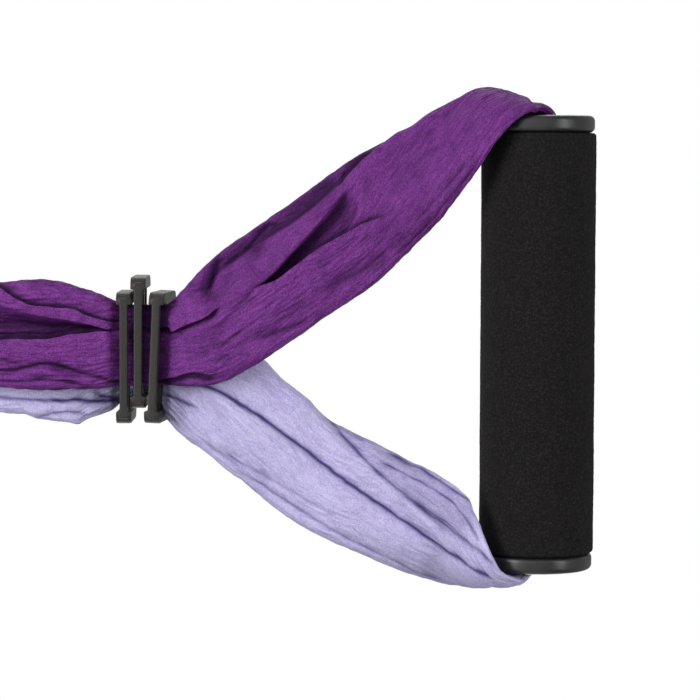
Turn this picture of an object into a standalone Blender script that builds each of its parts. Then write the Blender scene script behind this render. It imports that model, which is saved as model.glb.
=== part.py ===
"""One hand-grip loop of an aerial yoga hammock, in metres, with +Z up.

Two gathered strips of nylon cloth hang from a sewn eye, pass through three three-bar slides
and fork to the two ends of a foam-covered tube, inside which they are sewn end to end.
The origin is on the eye's axis, straight above the middle of the grip. The grip's axis and
the eye's axis both lie along X, and the front is -Y. Places on the loop are first worked out
above the grip's axis and then dropped by GRIP_DROP.
"""

import math
from collections import namedtuple

import bpy
import bmesh
import numpy as np

CLEARANCE = 0.0003

# Grip: a plastic tube in a foam sleeve, with a flanged plug in each end
GRIP_DROP = 0.2210
TUBE_DIAMETER = 0.0260
TUBE_WALL = 0.0015
FOAM_DIAMETER = 0.0360
FOAM_LENGTH = 0.1305
FOAM_EDGE_RADIUS = 0.0014
FLANGE_DIAMETER = 0.0350
FLANGE_THICKNESS = 0.0054
FLANGE_EDGE_RADIUS = 0.0018
FLANGE_STANDOFF = 0.0006
SPIGOT_LENGTH = 0.0120
BORE_DIAMETER = 0.0190
BORE_LIP_RADIUS = 0.0028
TURN_STEPS = 48
CORNER_STEPS = 4

# Slides: three bars and two slots each, with thicker heads at both ends
SLOT_LENGTH = 0.0333
SLOT_DEPTH = 0.0080
SLOT_CORNER_RADIUS = 0.0012
BAR_DEPTH = 0.0030
BAR_THICKNESS = 0.0025
HEAD_LENGTH = 0.0041
HEAD_THICKNESS = 0.0050
HEAD_CORNER_RADIUS = 0.0024
FLARE_LENGTH = 0.0022
RIB_COUNT = 12
RIB_HEIGHT = 0.0004
RIB_FOOT_DEPTH = 0.0002

# Where the slides sit on the strips, and how each one leans
STACK_HEIGHT = 0.1248
STACK_SHIFT = -0.0046
OUTER_SLIDE_PITCH = 0.00445
INNER_SLIDE_PITCH = 0.0049
MIDDLE_SLIDE_RAISE = 0.0048
MIDDLE_SLIDE_TILT = math.radians(0.2)
INNER_SLIDE_TILT = math.radians(2.4)
INNER_SLIDE_YAW = math.radians(6.0)

# Strips of gathered cloth
SLOT_PLAY = 0.0006
STRIP_THICKNESS = 0.0074
SEAM_GAP = 0.0003
REST_GAP = 0.0007
EYE_OPENING = 0.0160
EYE_SEAM_DEGREES = -12.0
THROAT_DROP = 0.0230
EYE_HALF_WIDTH = 0.0135
THROAT_THICKNESS = 0.0067
PURPLE_WAIST_WIDTH = 0.0246
LILAC_WAIST_WIDTH = 0.0244
PURPLE_RIM_THICKNESS = 0.0074
LILAC_RIM_THICKNESS = 0.0058
SLOT_LEAD = 0.0022
BUNDLE_HALF_WIDTH = 0.0083
BUNDLE_HALF_THICKNESS = 0.0068
BUNDLE_START_DEPTH = 0.0054
SECTION_STEPS = 13
EDGE_POWER = 3.0

# Tail rows: height above the slides, middle along X, half width
PURPLE_TAIL = (
    (0.0600, 0.0010, 0.0152),
    (0.0440, 0.0022, 0.0162),
    (0.0320, 0.0023, 0.0171),
    (0.0240, 0.0019, 0.0165),
    (0.0140, 0.0005, 0.0147),
)
LILAC_TAIL = (
    (0.0600, -0.0048, 0.0148),
    (0.0440, -0.0070, 0.0149),
    (0.0310, -0.0089, 0.0150),
    (0.0190, -0.0102, 0.0154),
    (0.0130, -0.0082, 0.0140),
)

# Leg rows: share of the way from the fork to the flange, lift off the straight line,
# half width, half thickness, twist in degrees, droop of both edges
PURPLE_LEG = (
    (0.17, -0.0038, 0.0178, 0.0038, 0, 0.0),
    (0.40, -0.0046, 0.0182, 0.0038, 0, 0.0),
    (0.58, -0.0050, 0.0176, 0.0039, 6, 0.0),
    (0.73, -0.0044, 0.0166, 0.0040, 18, 0.0006),
    (0.88, -0.0034, 0.0156, 0.0039, 44, 0.0024),
)
LILAC_LEG = (
    (0.20, -0.0010, 0.0174, 0.0037, 0, 0.0),
    (0.36, -0.0028, 0.0168, 0.0038, 0, 0.0),
    (0.52, -0.0030, 0.0162, 0.0038, 0, 0.0),
    (0.70, 0.0004, 0.0170, 0.0038, 4, 0.0),
    (0.86, 0.0036, 0.0174, 0.0034, 28, 0.0014),
)

# How far round to the front of the flange each strip runs over it
PURPLE_WRAP = math.radians(22)
LILAC_WRAP = math.radians(16)

# Ways along a strip: 0 at the slides, 1 at the flange and -1 at TAIL_UNIT above the slides
TAIL_UNIT = 0.1
EYE_WAY = -2.0
EYE_SHORT_WAY = -1.1
EYE_END_WAY = -1.0
EYE_LEAD_WAY = 0.1
LEVEL_WAY = -0.6
FORK_WAY = 0.1
FORK_TURN_WAY = 0.12
EYE_LEAD_DEGREES = 20.0
EYE_STEPS = 8

# Over the flange and down the bore: way, share of the wrap, half width, droop of both edges.
# The rows are the rim, the face, the lip, the mouth, the bundle's start, its middle and seam.
MOUTH_ROWS = (
    (1.00, 1.0, 0.0146, 0.0050),
    (1.06, 0.9, 0.0140, 0.0052),
    (1.12, 0.7, 0.0114, 0.0026),
    (1.18, 0.4, 0.0088, 0.0),
    (1.26, 0.0, BUNDLE_HALF_WIDTH, 0.0),
    (1.40, 0.0, BUNDLE_HALF_WIDTH, 0.0),
    (1.60, 0.0, BUNDLE_HALF_WIDTH, 0.0),
)

# Sections are taken from way to way, in this many steps
PURPLE_EYE_STEPS = ((EYE_WAY, EYE_END_WAY, 8), (EYE_END_WAY, -0.72, 3))
LILAC_EYE_STEPS = ((EYE_SHORT_WAY, -0.72, 5),)
STRIP_STEPS = (
    (-0.72, -0.12, 6),
    (-0.12, FORK_WAY, 5),
    (FORK_WAY, 0.94, 10),
    (0.94, 1.06, 3),
    (1.06, 1.22, 9),
    (1.22, 1.60, 2),
)

# Main folds: side, from way and place, to way and place, depth, half width as a share.
# A place runs from 1 at the upper edge to -1 at the lower edge.
PURPLE_FOLDS = (
    ("front", -0.90, 0.34, -0.02, 0.42, 0.0013, 0.12),
    ("front", -0.70, 0.02, -0.04, 0.04, 0.0026, 0.17),
    ("front", -0.80, -0.52, 0.02, -0.62, 0.0013, 0.11),
    ("front", 0.08, 0.36, 0.24, 0.12, 0.0012, 0.12),
    ("front", 0.26, 0.04, 0.68, 0.70, 0.0030, 0.15),
    ("front", 0.20, -0.36, 0.34, -0.02, 0.0013, 0.13),
    ("front", 0.10, -0.72, 0.42, -0.60, 0.0010, 0.10),
    ("front", 0.56, 0.92, 0.92, 0.62, 0.0014, 0.10),
    ("front", 0.52, -0.28, 1.02, -0.40, 0.0017, 0.14),
    ("front", 0.80, 0.20, 1.16, 0.12, 0.0017, 0.13),
    ("back", -0.86, 0.10, -0.04, -0.14, 0.0016, 0.15),
    ("back", 0.12, -0.20, 0.56, 0.26, 0.0020, 0.16),
    ("back", 0.44, -0.34, 0.98, -0.10, 0.0018, 0.15),
)
LILAC_FOLDS = (
    ("front", -0.80, -0.60, -0.02, -0.46, 0.0013, 0.11),
    ("front", 0.14, -0.24, 0.42, 0.18, 0.0026, 0.14),
    ("front", 0.36, 0.17, 1.04, -0.32, 0.0030, 0.14),
    ("front", 0.54, 0.70, 0.92, 0.26, 0.0018, 0.12),
    ("front", 0.20, -0.56, 0.98, -0.72, 0.0015, 0.11),
    ("front", 0.18, 0.66, 0.46, 0.56, 0.0011, 0.11),
    ("back", -0.86, 0.26, -0.02, 0.06, 0.0018, 0.16),
    ("back", -0.84, -0.40, -0.04, -0.50, 0.0013, 0.12),
    ("back", 0.14, 0.28, 0.66, -0.16, 0.0022, 0.16),
    ("back", 0.50, 0.36, 1.04, 0.16, 0.0018, 0.14),
    ("back", 0.30, -0.62, 0.88, -0.54, 0.0013, 0.12),
)

flange_seat = FOAM_LENGTH / 2 + FLANGE_STANDOFF
flange_face = flange_seat + FLANGE_THICKNESS
slide_length = SLOT_LENGTH + 2 * HEAD_LENGTH
slide_depth = 3 * BAR_DEPTH + 2 * SLOT_DEPTH
slot_centre_depth = (BAR_DEPTH + SLOT_DEPTH) / 2
slot_half_thickness = SLOT_DEPTH / 2 - SLOT_PLAY
stack_top = OUTER_SLIDE_PITCH + HEAD_THICKNESS / 2
stack_bottom = -INNER_SLIDE_PITCH - HEAD_THICKNESS / 2
waist_top = STACK_SHIFT + SLOT_LENGTH / 2 - SLOT_PLAY
waist_bottom = STACK_SHIFT + MIDDLE_SLIDE_RAISE - SLOT_LENGTH / 2 + SLOT_PLAY
tail_depth = (STRIP_THICKNESS + SEAM_GAP) / 2
DOWN = np.array((0.0, 0.0, -1.0))
Station = namedtuple("Station", "way point across half_width half_thickness droop")


def material(name, colour, roughness, metallic=0.0):
    """A plain Principled material."""
    made = bpy.data.materials.new(name)
    made.use_nodes = True
    shader = made.node_tree.nodes["Principled BSDF"]
    shader.inputs["Base Color"].default_value = (*colour, 1.0)
    shader.inputs["Roughness"].default_value = roughness
    shader.inputs["Metallic"].default_value = metallic
    made.diffuse_color = (*colour, 1.0)
    return made


def add_object(name, mesh_builder, finish, smooth_degrees=40):
    """Turns a bmesh into a named object with one material and smooth round faces."""
    bmesh.ops.recalc_face_normals(mesh_builder, faces=mesh_builder.faces)
    mesh = bpy.data.meshes.new(name)
    mesh_builder.to_mesh(mesh)
    mesh_builder.free()
    mesh.shade_smooth()
    mesh.set_sharp_from_angle(angle=math.radians(smooth_degrees))
    mesh.materials.append(finish)
    made = bpy.data.objects.new(name, mesh)
    bpy.context.scene.collection.objects.link(made)
    return made


def corner(centre, radius, start, end, steps=CORNER_STEPS):
    """Points of an arc, from one angle in degrees to another."""
    angles = [math.radians(start + (end - start) * k / steps) for k in range(steps + 1)]
    return [(centre[0] + radius * math.cos(a), centre[1] + radius * math.sin(a)) for a in angles]


def turned(name, profile, finish):
    """Spins a closed profile of (distance along X, radius) points round the grip's axis."""
    builder = bmesh.new()
    rings = []
    for k in range(TURN_STEPS):
        angle = 2 * math.pi * k / TURN_STEPS
        rings.append(
            [builder.verts.new((x, r * math.cos(angle), r * math.sin(angle))) for x, r in profile]
        )
    for k, ring in enumerate(rings):
        following = rings[(k + 1) % TURN_STEPS]
        for i in range(len(profile)):
            j = (i + 1) % len(profile)
            builder.faces.new((ring[i], ring[j], following[j], following[i]))
    return add_object(name, builder, finish)


def prism(outline, low, high, axis):
    """A closed outline pushed along one axis: the axis number takes the low and high values."""
    builder = bmesh.new()
    rings = []
    for level in (low, high):
        ring = []
        for point in outline:
            place = list(point)
            place.insert(axis, level)
            ring.append(builder.verts.new(place))
        rings.append(ring)
    builder.faces.new(rings[0])
    builder.faces.new(rings[1])
    for i in range(len(outline)):
        j = (i + 1) % len(outline)
        builder.faces.new((rings[0][i], rings[0][j], rings[1][j], rings[1][i]))
    return builder


def rounded_rectangle(half_x, half_y, radius, middle=(0.0, 0.0)):
    """The corner points of a rectangle with round corners."""
    outline = []
    for start, sign_x, sign_y in ((0, 1, 1), (90, -1, 1), (180, -1, -1), (270, 1, -1)):
        centre = (middle[0] + sign_x * (half_x - radius), middle[1] + sign_y * (half_y - radius))
        outline += corner(centre, radius, start, start + 90)
    return outline


def tube_profile():
    """A plain tube that ends just short of the flanges."""
    end = flange_seat - CLEARANCE
    outer = TUBE_DIAMETER / 2
    inner = outer - TUBE_WALL
    return [(-end, inner), (end, inner), (end, outer), (-end, outer)]


def foam_profile():
    """The foam sleeve, with rounded outer ends."""
    end = FOAM_LENGTH / 2
    outer = FOAM_DIAMETER / 2
    inner = TUBE_DIAMETER / 2 + CLEARANCE
    middle_x = end - FOAM_EDGE_RADIUS
    middle_r = outer - FOAM_EDGE_RADIUS
    profile = [(-end, inner), (end, inner)]
    profile += corner((middle_x, middle_r), FOAM_EDGE_RADIUS, 0, 90)
    profile += corner((-middle_x, middle_r), FOAM_EDGE_RADIUS, 90, 180)
    return profile


def flange_profile():
    """A flanged plug: spigot in the tube, disc over the foam, and a bore with a rounded mouth."""
    bore = BORE_DIAMETER / 2
    spigot = TUBE_DIAMETER / 2 - TUBE_WALL - CLEARANCE
    outer = FLANGE_DIAMETER / 2
    edge = FLANGE_EDGE_RADIUS
    profile = [(flange_seat - SPIGOT_LENGTH, bore), (flange_seat - SPIGOT_LENGTH, spigot)]
    profile.append((flange_seat, spigot))
    profile += corner((flange_seat + edge, outer - edge), edge, 180, 90)
    profile += corner((flange_face - edge, outer - edge), edge, 90, 0)
    profile += corner(
        (flange_face - BORE_LIP_RADIUS, bore + BORE_LIP_RADIUS), BORE_LIP_RADIUS, 0, -90
    )
    return profile


def flare_outline(side):
    """What is cut from one face of a slide: all but its heads, with flared ends."""
    reach = SLOT_LENGTH / 2
    rise = (HEAD_THICKNESS - BAR_THICKNESS) / 2
    level = side * BAR_THICKNESS / 2
    outline = []
    for end in (-1, 1):
        arc = []
        for k in range(CORNER_STEPS + 1):
            angle = math.pi / 2 * k / CORNER_STEPS
            x = reach - FLARE_LENGTH * (1 - math.sin(angle))
            arc.append((end * x, level + side * rise * (1 - math.cos(angle))))
        outline += arc[::-1] if end < 0 else arc
    above = side * HEAD_THICKNESS
    return outline + [(reach, above), (-reach, above)]


def rib_outline():
    """A comb of low ribs across both faces of the middle bar."""
    reach = SLOT_LENGTH / 2 - FLARE_LENGTH
    step = reach / RIB_COUNT
    surface = BAR_THICKNESS / 2
    upper = []
    for k in range(2 * RIB_COUNT + 1):
        height = surface + RIB_HEIGHT if k % 2 else surface - RIB_FOOT_DEPTH
        upper.append((-reach + k * step, height))
    lower = [(x, -height) for x, height in reversed(upper)]
    return upper + lower


def cutter(name, builder, parent):
    """A hidden solid that shapes its parent."""
    bmesh.ops.recalc_face_normals(builder, faces=builder.faces)
    mesh = bpy.data.meshes.new(name)
    builder.to_mesh(mesh)
    builder.free()
    made = bpy.data.objects.new(name, mesh)
    bpy.context.scene.collection.objects.link(made)
    made.parent = parent
    made.hide_render = True
    made.display_type = "WIRE"
    return made


def combine(target, other, operation):
    """Adds a Boolean modifier."""
    modifier = target.modifiers.new(other.name, "BOOLEAN")
    modifier.operation = operation
    modifier.object = other


def three_bar_slide(name, height, shift, tilt, yaw, finish):
    """A webbing slide in the XY plane, its front edge at the given height above the grip."""
    outline = rounded_rectangle(slide_length / 2, slide_depth / 2, HEAD_CORNER_RADIUS)
    slide = add_object(name, prism(outline, -HEAD_THICKNESS / 2, HEAD_THICKNESS / 2, 2), finish)
    for word, side in (("upper", 1), ("lower", -1)):
        block = prism(flare_outline(side), -slide_depth, slide_depth, 1)
        combine(slide, cutter(f"{name}_{word}_relief", block, slide), "DIFFERENCE")
    for word, side in (("front", -1), ("rear", 1)):
        slot = rounded_rectangle(
            SLOT_LENGTH / 2, SLOT_DEPTH / 2, SLOT_CORNER_RADIUS, (0.0, side * slot_centre_depth)
        )
        block = prism(slot, -HEAD_THICKNESS, HEAD_THICKNESS, 2)
        combine(slide, cutter(f"{name}_{word}_slot", block, slide), "DIFFERENCE")
    ribs = prism(rib_outline(), -BAR_DEPTH / 2 + CLEARANCE, BAR_DEPTH / 2 - CLEARANCE, 1)
    combine(slide, cutter(f"{name}_ribs", ribs, slide), "UNION")
    rear_drop = slide_depth / 2 * math.sin(yaw)
    slide.location = (shift, 0.0, height - rear_drop - GRIP_DROP)
    slide.rotation_euler = (-yaw, tilt, 0.0)
    return slide


def arc_station(way, degrees, middle_x, half_width):
    """A station on the ring of the eye, at an angle from the rear."""
    half = STRIP_THICKNESS / 2
    radius = EYE_OPENING / 2 + half
    angle = math.radians(degrees)
    place = (middle_x, radius * math.cos(angle), GRIP_DROP + radius * math.sin(angle))
    return Station(way, place, (1, 0, 0), half_width, half, 0.0)


def eye_stations(side, middle_x):
    """The eye and its throat: one strip goes over the top, the other meets it at the rear."""
    half = THROAT_THICKNESS / 2
    throat = GRIP_DROP - THROAT_DROP
    throat_way = -(throat - STACK_HEIGHT) / TAIL_UNIT
    made = []
    if side > 0:
        for k in range(-1, EYE_STEPS + 1):
            degrees = EYE_SEAM_DEGREES + (180 - 2 * EYE_SEAM_DEGREES) * k / EYE_STEPS
            way = EYE_WAY + (EYE_END_WAY - EYE_WAY) * k / EYE_STEPS
            made.append(arc_station(way, degrees, middle_x, EYE_HALF_WIDTH))
    else:
        gap_degrees = math.degrees(SEAM_GAP / (EYE_OPENING / 2))
        for k in (-1, 0, 1):
            degrees = EYE_SEAM_DEGREES - gap_degrees - k * EYE_LEAD_DEGREES
            way = EYE_SHORT_WAY + k * EYE_LEAD_WAY
            made.append(arc_station(way, degrees, middle_x, EYE_HALF_WIDTH))
    place = (middle_x, -side * (half + SEAM_GAP), throat)
    made.append(Station(throat_way, place, (1, 0, 0), EYE_HALF_WIDTH, half, 0.0))
    return made


def tail_stations(side, rows):
    """The straight stretch between the eye and the slides."""
    made = []
    for height, middle_x, half_width in rows:
        place = (middle_x, -side * tail_depth, STACK_HEIGHT + height)
        made.append(
            Station(
                -height / TAIL_UNIT, place, (1, 0, 0), half_width, STRIP_THICKNESS / 2, 0.0
            )
        )
    return made


def waist_stations(side, middle_x, half_width):
    """The strip in the slots: just above, in and just below the stack of slides."""
    made = []
    for way, height in (
        (-(stack_top + SLOT_LEAD) / TAIL_UNIT, stack_top + SLOT_LEAD),
        (-stack_top / TAIL_UNIT, stack_top),
        (0.0, 0.0),
        (-stack_bottom / TAIL_UNIT, stack_bottom),
        (FORK_WAY, stack_bottom - SLOT_LEAD),
    ):
        place = (middle_x, -side * slot_centre_depth, STACK_HEIGHT + height)
        made.append(Station(way, place, (1, 0, 0), half_width, slot_half_thickness, 0.0))
    return made


def leg_stations(fork, rim, rows):
    """The stretch from the fork to the rim of the flange, in which the strip turns edge on."""
    fork = np.array(fork)
    chord = np.array(rim.point) - fork
    normal = np.array((-chord[2], 0.0, chord[0])) / math.hypot(chord[0], chord[2])
    made = []
    for share, lift, half_width, half_thickness, twist, droop in rows:
        place = fork + chord * share + normal * lift
        angle = math.radians(twist)
        across = normal * math.cos(angle) + np.array(rim.across) * math.sin(angle)
        way = FORK_WAY + (1 - FORK_WAY) * share
        made.append(Station(way, tuple(place), tuple(across), half_width, half_thickness, droop))
    return made


def mouth_stations(side, thickness, wrap):
    """Over the flange, round the mouth of the bore and down to the seam inside the tube."""
    half = thickness / 2
    thicker = (BUNDLE_HALF_THICKNESS - half) / 3
    rim = FLANGE_DIAMETER / 2 - FLANGE_EDGE_RADIUS
    bore = BORE_DIAMETER / 2
    slant = (FLANGE_EDGE_RADIUS + REST_GAP + half) * math.sqrt(0.5)
    over = flange_face + REST_GAP + half
    places = (
        (flange_face - FLANGE_EDGE_RADIUS + slant, rim + slant, half),
        (over, (rim + bore) / 2, half),
        (over - BORE_LIP_RADIUS / 2, bore * 3 / 4, half + thicker / 2),
        (flange_face - BORE_LIP_RADIUS, bore / 4, half + 2 * thicker),
        (flange_seat - BUNDLE_START_DEPTH, 0.0, half + 3 * thicker),
        (flange_seat / 2, 0.0, BUNDLE_HALF_THICKNESS),
        (SEAM_GAP / 2, 0.0, BUNDLE_HALF_THICKNESS),
    )
    made = []
    for (way, turn, half_width, droop), (x, radius, half_thickness) in zip(MOUTH_ROWS, places):
        angle = wrap * turn
        place = (side * x, -radius * math.sin(angle), radius * math.cos(angle))
        across = (0.0, side * math.cos(angle), side * math.sin(angle))
        made.append(Station(way, place, across, half_width, half_thickness, droop))
    return made


def read_between(stations, way):
    """A smooth curve through the stations: place, direction across, half sizes and droop."""
    ways = [s.way for s in stations]
    rows = np.array([[*s.point, *s.across, s.half_width, s.half_thickness, s.droop] for s in stations])
    last = len(ways) - 2
    i = min(max(int(np.searchsorted(ways, way, side="right")) - 1, 0), last)
    slopes = []
    for k in (i, i + 1):
        low, high = max(k - 1, 0), min(k + 1, len(ways) - 1)
        slopes.append((rows[high] - rows[low]) / (ways[high] - ways[low]))
    span = ways[i + 1] - ways[i]
    t = (way - ways[i]) / span
    return (
        rows[i] * (1 + 2 * t) * (1 - t) ** 2
        + rows[i + 1] * t * t * (3 - 2 * t)
        + slopes[0] * span * t * (1 - t) ** 2
        - slopes[1] * span * t * t * (1 - t)
    )


def fold_depth(folds, face, way, place):
    """How far the main folds press one face in, at a way along and a place across."""
    depth = 0.0
    for side, way_a, place_a, way_b, place_b, deep, wide in folds:
        if side != face or not way_a < way < way_b:
            continue
        share = (way - way_a) / (way_b - way_a)
        fade = min(1.0, 5 * share, 5 * (1 - share))
        line = place_a + (place_b - place_a) * share
        depth += deep * fade * math.exp(-(((place - line) / wide) ** 2))
    return depth


def section(values, along, folds, way):
    """One closed ring of points across the strip, from its upper edge round and back."""
    centre, across = values[0:3], values[3:6]
    half_width, half_thickness, droop = values[6:9]
    across = across - along * np.dot(across, along)
    across /= np.linalg.norm(across)
    outward = np.cross(along, across)
    ring = []
    for k in range(2 * SECTION_STEPS):
        front = k <= SECTION_STEPS
        place = math.cos(math.pi * k / SECTION_STEPS)
        swell = half_thickness * math.sqrt(max(0.0, 1 - abs(place) ** EDGE_POWER))
        pressed = min(fold_depth(folds, "front" if front else "back", way, place), swell)
        level = (swell - pressed) * (1 if front else -1)
        point = centre + across * place * half_width + outward * level
        ring.append(point + DOWN * droop * place * place)
    return ring


def rest_on_grip(point):
    """Moves a point that would lie in the grip, or too near it, out to its surface."""
    bore = BORE_DIAMETER / 2
    outer = max(FLANGE_DIAMETER, FOAM_DIAMETER) / 2
    radius = math.hypot(point[1], point[2])
    middle = (bore + outer) / 2
    inside = radius < middle
    edge = BORE_LIP_RADIUS if inside else FLANGE_EDGE_RADIUS
    reach_r = (outer - bore) / 2 - edge
    reach_x = flange_face - edge
    off_r = abs(radius - middle) - reach_r
    off_x = abs(point[0]) - reach_x
    if off_r > 0 and off_x > 0:
        away = math.hypot(off_r, off_x)
        step_r, step_x = off_r / away, off_x / away
    elif off_r > off_x:
        away, step_r, step_x = off_r, 1.0, 0.0
    else:
        away, step_r, step_x = off_x, 0.0, 1.0
    short = edge + REST_GAP - away
    if short <= 0:
        return point
    new_radius = radius + step_r * short * (-1 if inside else 1)
    new_x = point[0] + step_x * short * math.copysign(1, point[0])
    scale = new_radius / max(radius, 1e-9)
    return np.array((new_x, point[1] * scale, point[2] * scale))


def level_along(along, way):
    """Keeps the sections level in the tail and the slots, and lets them lean below the fork."""
    if way < LEVEL_WAY:
        return along
    lean = min(max((way - FORK_WAY) / FORK_TURN_WAY, 0.0), 1.0)
    mixed = DOWN * (1 - lean) + along * lean
    return mixed / np.linalg.norm(mixed)


def spaced(start, end, count):
    """Evenly spaced values from start up to, but not including, end."""
    return [start + (end - start) * k / count for k in range(count)]


def strip(name, stations, folds, eye_steps, finish):
    """Skins a gathered strip through its stations as one closed solid."""
    first = stations[0].way
    end = stations[-1].way
    ways = []
    for start, stop, count in eye_steps + STRIP_STEPS:
        ways += spaced(start, stop, count)
    ways.append(end)
    small = 1e-3
    rings = []
    builder = bmesh.new()
    for way in ways:
        values = read_between(stations, way)
        ahead = read_between(stations, min(way + small, end))[0:3]
        behind = read_between(stations, max(way - small, first))[0:3]
        along = (ahead - behind) / np.linalg.norm(ahead - behind)
        along = level_along(along, way)
        ring = section(values, along, folds, way)
        if way > FORK_WAY:
            ring = [rest_on_grip(point) for point in ring]
        rings.append([builder.verts.new((x, y, z - GRIP_DROP)) for x, y, z in ring])
    count = 2 * SECTION_STEPS
    for ring, following in zip(rings, rings[1:]):
        for i in range(count):
            j = (i + 1) % count
            builder.faces.new((ring[i], ring[j], following[j], following[i]))
    for ring in (rings[0], rings[-1]):
        for i in range(SECTION_STEPS):
            front = (ring[i], ring[i + 1])
            back = (ring[-i - 1], ring[-i % count])
            corners = list(dict.fromkeys((*front, *back)))
            builder.faces.new(corners)
    return add_object(name, builder, finish, smooth_degrees=60)


def strip_stations(side, middle_eye, tail_rows, waist, leg_rows, rim_thickness, wrap):
    """All stations of one strip, from the eye to the seam in the tube, in order."""
    middle_x, half_width = waist
    head = eye_stations(side, middle_eye) + tail_stations(side, tail_rows)
    in_slots = waist_stations(side, middle_x, half_width)
    mouth = mouth_stations(side, rim_thickness, wrap)
    return head + in_slots + leg_stations(in_slots[-1].point, mouth[0], leg_rows) + mouth


def build():
    """Makes every sub-part of the loop."""
    for old in list(bpy.data.objects):
        bpy.data.objects.remove(old, do_unlink=True)

    gloss_black = material("gloss_black_plastic", (0.012, 0.012, 0.013), 0.22)
    slide_black = material("slide_black_plastic", (0.030, 0.029, 0.027), 0.38)
    tube_grey = material("tube_plastic", (0.20, 0.20, 0.21), 0.45)
    foam_black = material("black_foam", (0.018, 0.016, 0.015), 0.92)
    purple = material("purple_nylon", (0.158, 0.030, 0.220), 0.42)
    lilac = material("lilac_nylon", (0.400, 0.350, 0.680), 0.42)

    grip = bpy.data.objects.new("grip_axis", None)
    grip.location = (0.0, 0.0, -GRIP_DROP)
    bpy.context.scene.collection.objects.link(grip)
    upper = turned("end_flange_upper", flange_profile(), gloss_black)
    lower = turned("end_flange_lower", [(-x, r) for x, r in flange_profile()], gloss_black)
    tube = turned("grip_tube", tube_profile(), tube_grey)
    foam = turned("foam_sleeve", foam_profile(), foam_black)
    for piece in (upper, lower, tube, foam):
        piece.parent = grip

    for name, step, raise_by, tilt, yaw in (
        ("slide_outer", OUTER_SLIDE_PITCH, 0.0, 0.0, 0.0),
        ("slide_middle", 0.0, MIDDLE_SLIDE_RAISE, MIDDLE_SLIDE_TILT, 0.0),
        ("slide_inner", -INNER_SLIDE_PITCH, 0.0, INNER_SLIDE_TILT, INNER_SLIDE_YAW),
    ):
        height = STACK_HEIGHT + step
        three_bar_slide(name, height, STACK_SHIFT + raise_by, tilt, yaw, slide_black)

    purple_waist = (waist_top - PURPLE_WAIST_WIDTH / 2, PURPLE_WAIST_WIDTH / 2)
    lilac_waist = (waist_bottom + LILAC_WAIST_WIDTH / 2, LILAC_WAIST_WIDTH / 2)
    middle_eye = (purple_waist[0] + lilac_waist[0]) / 2
    purple_stations = strip_stations(
        1, middle_eye, PURPLE_TAIL, purple_waist, PURPLE_LEG, PURPLE_RIM_THICKNESS, PURPLE_WRAP
    )
    lilac_stations = strip_stations(
        -1, middle_eye, LILAC_TAIL, lilac_waist, LILAC_LEG, LILAC_RIM_THICKNESS, LILAC_WRAP
    )
    strip("purple_strip", purple_stations, PURPLE_FOLDS, PURPLE_EYE_STEPS, purple)
    strip("lilac_strip", lilac_stations, LILAC_FOLDS, LILAC_EYE_STEPS, lilac)


build()
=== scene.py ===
"""The looks of one hand-grip loop of an aerial yoga hammock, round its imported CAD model.

The gathered strips are open sheets of cloth with their folds. The foam, the flanges and the
slides are finer meshes, made here in the places of their CAD nodes. Everything is in metres in
the CAD's frame: +Z is up along the strips, +X along the grip, and -Y the front. Tables in
millimetres give places above the grip's axis.
"""

import math
from collections import namedtuple

import bpy
import bmesh
import numpy as np
from mathutils import Euler, Matrix, Vector


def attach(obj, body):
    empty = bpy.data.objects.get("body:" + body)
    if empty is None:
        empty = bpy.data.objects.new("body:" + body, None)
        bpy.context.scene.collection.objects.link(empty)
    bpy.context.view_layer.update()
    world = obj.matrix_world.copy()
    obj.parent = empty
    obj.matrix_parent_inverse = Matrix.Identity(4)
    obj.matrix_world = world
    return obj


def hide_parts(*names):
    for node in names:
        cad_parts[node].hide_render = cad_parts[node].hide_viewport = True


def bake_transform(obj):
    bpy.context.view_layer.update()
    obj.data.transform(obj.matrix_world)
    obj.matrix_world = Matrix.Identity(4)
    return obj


MM = 0.001

# The grip and the places that the strips rest on, in metres, as in the CAD, apart from the
# foam's ends, which are a little longer and crisper
GRIP_DROP = 0.2210
FOAM_RADIUS = 0.0180
FOAM_LENGTH = 0.1316
FOAM_BORE_RADIUS = 0.0133
FOAM_EDGE_RADIUS = 0.0010
FLANGE_RADIUS = 0.0175
FLANGE_SEAT = 0.06585
FLANGE_FACE = 0.07125
FLANGE_EDGE_RADIUS = 0.0018
FLANGE_FLAT = 0.001
BORE_RADIUS = 0.0095
BORE_LIP_RADIUS = 0.0028
SPIGOT_RADIUS = 0.0112
SPIGOT_LENGTH = 0.0120
SPIGOT_CHAMFER = 0.0005
REST_GAP = 0.0004

# How finely the turned pieces are made
FOAM_ROUND_STEPS = 200
FOAM_EDGE_STEPS = 7
FOAM_SKIN_PITCH = 0.00055
FOAM_END_PITCH = 0.0006
FOAM_BORE_PITCH = 0.004
FLANGE_ROUND_STEPS = 160
ARC_STEPS = 10
SHARP_ANGLE = math.radians(50)

# The foam's skin: height, length along, length round and seed of its dents and grit, in
# millimetres, and where it begins
FOAM_SKIN = ((0.09, 13, 11, 91), (0.05, 4, 4, 92), (0.075, 0.9, 0.9, 93))
FOAM_SKIN_SINK = 0.05
FOAM_SKIN_RADIUS = (0.0155, 0.0015)

# Camera: the photograph's frame, seen from the front with the strips to the left
CAMERA_DISTANCE = 0.959
CAMERA_SIDE_ANGLE = math.radians(3.7)
CAMERA_ROLL = math.radians(0.197)
CAMERA_TARGET = (-0.0025, 0.0, -0.1621)
CAMERA_SENSOR = 36.0
CAMERA_LENS = 156.86

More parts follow.
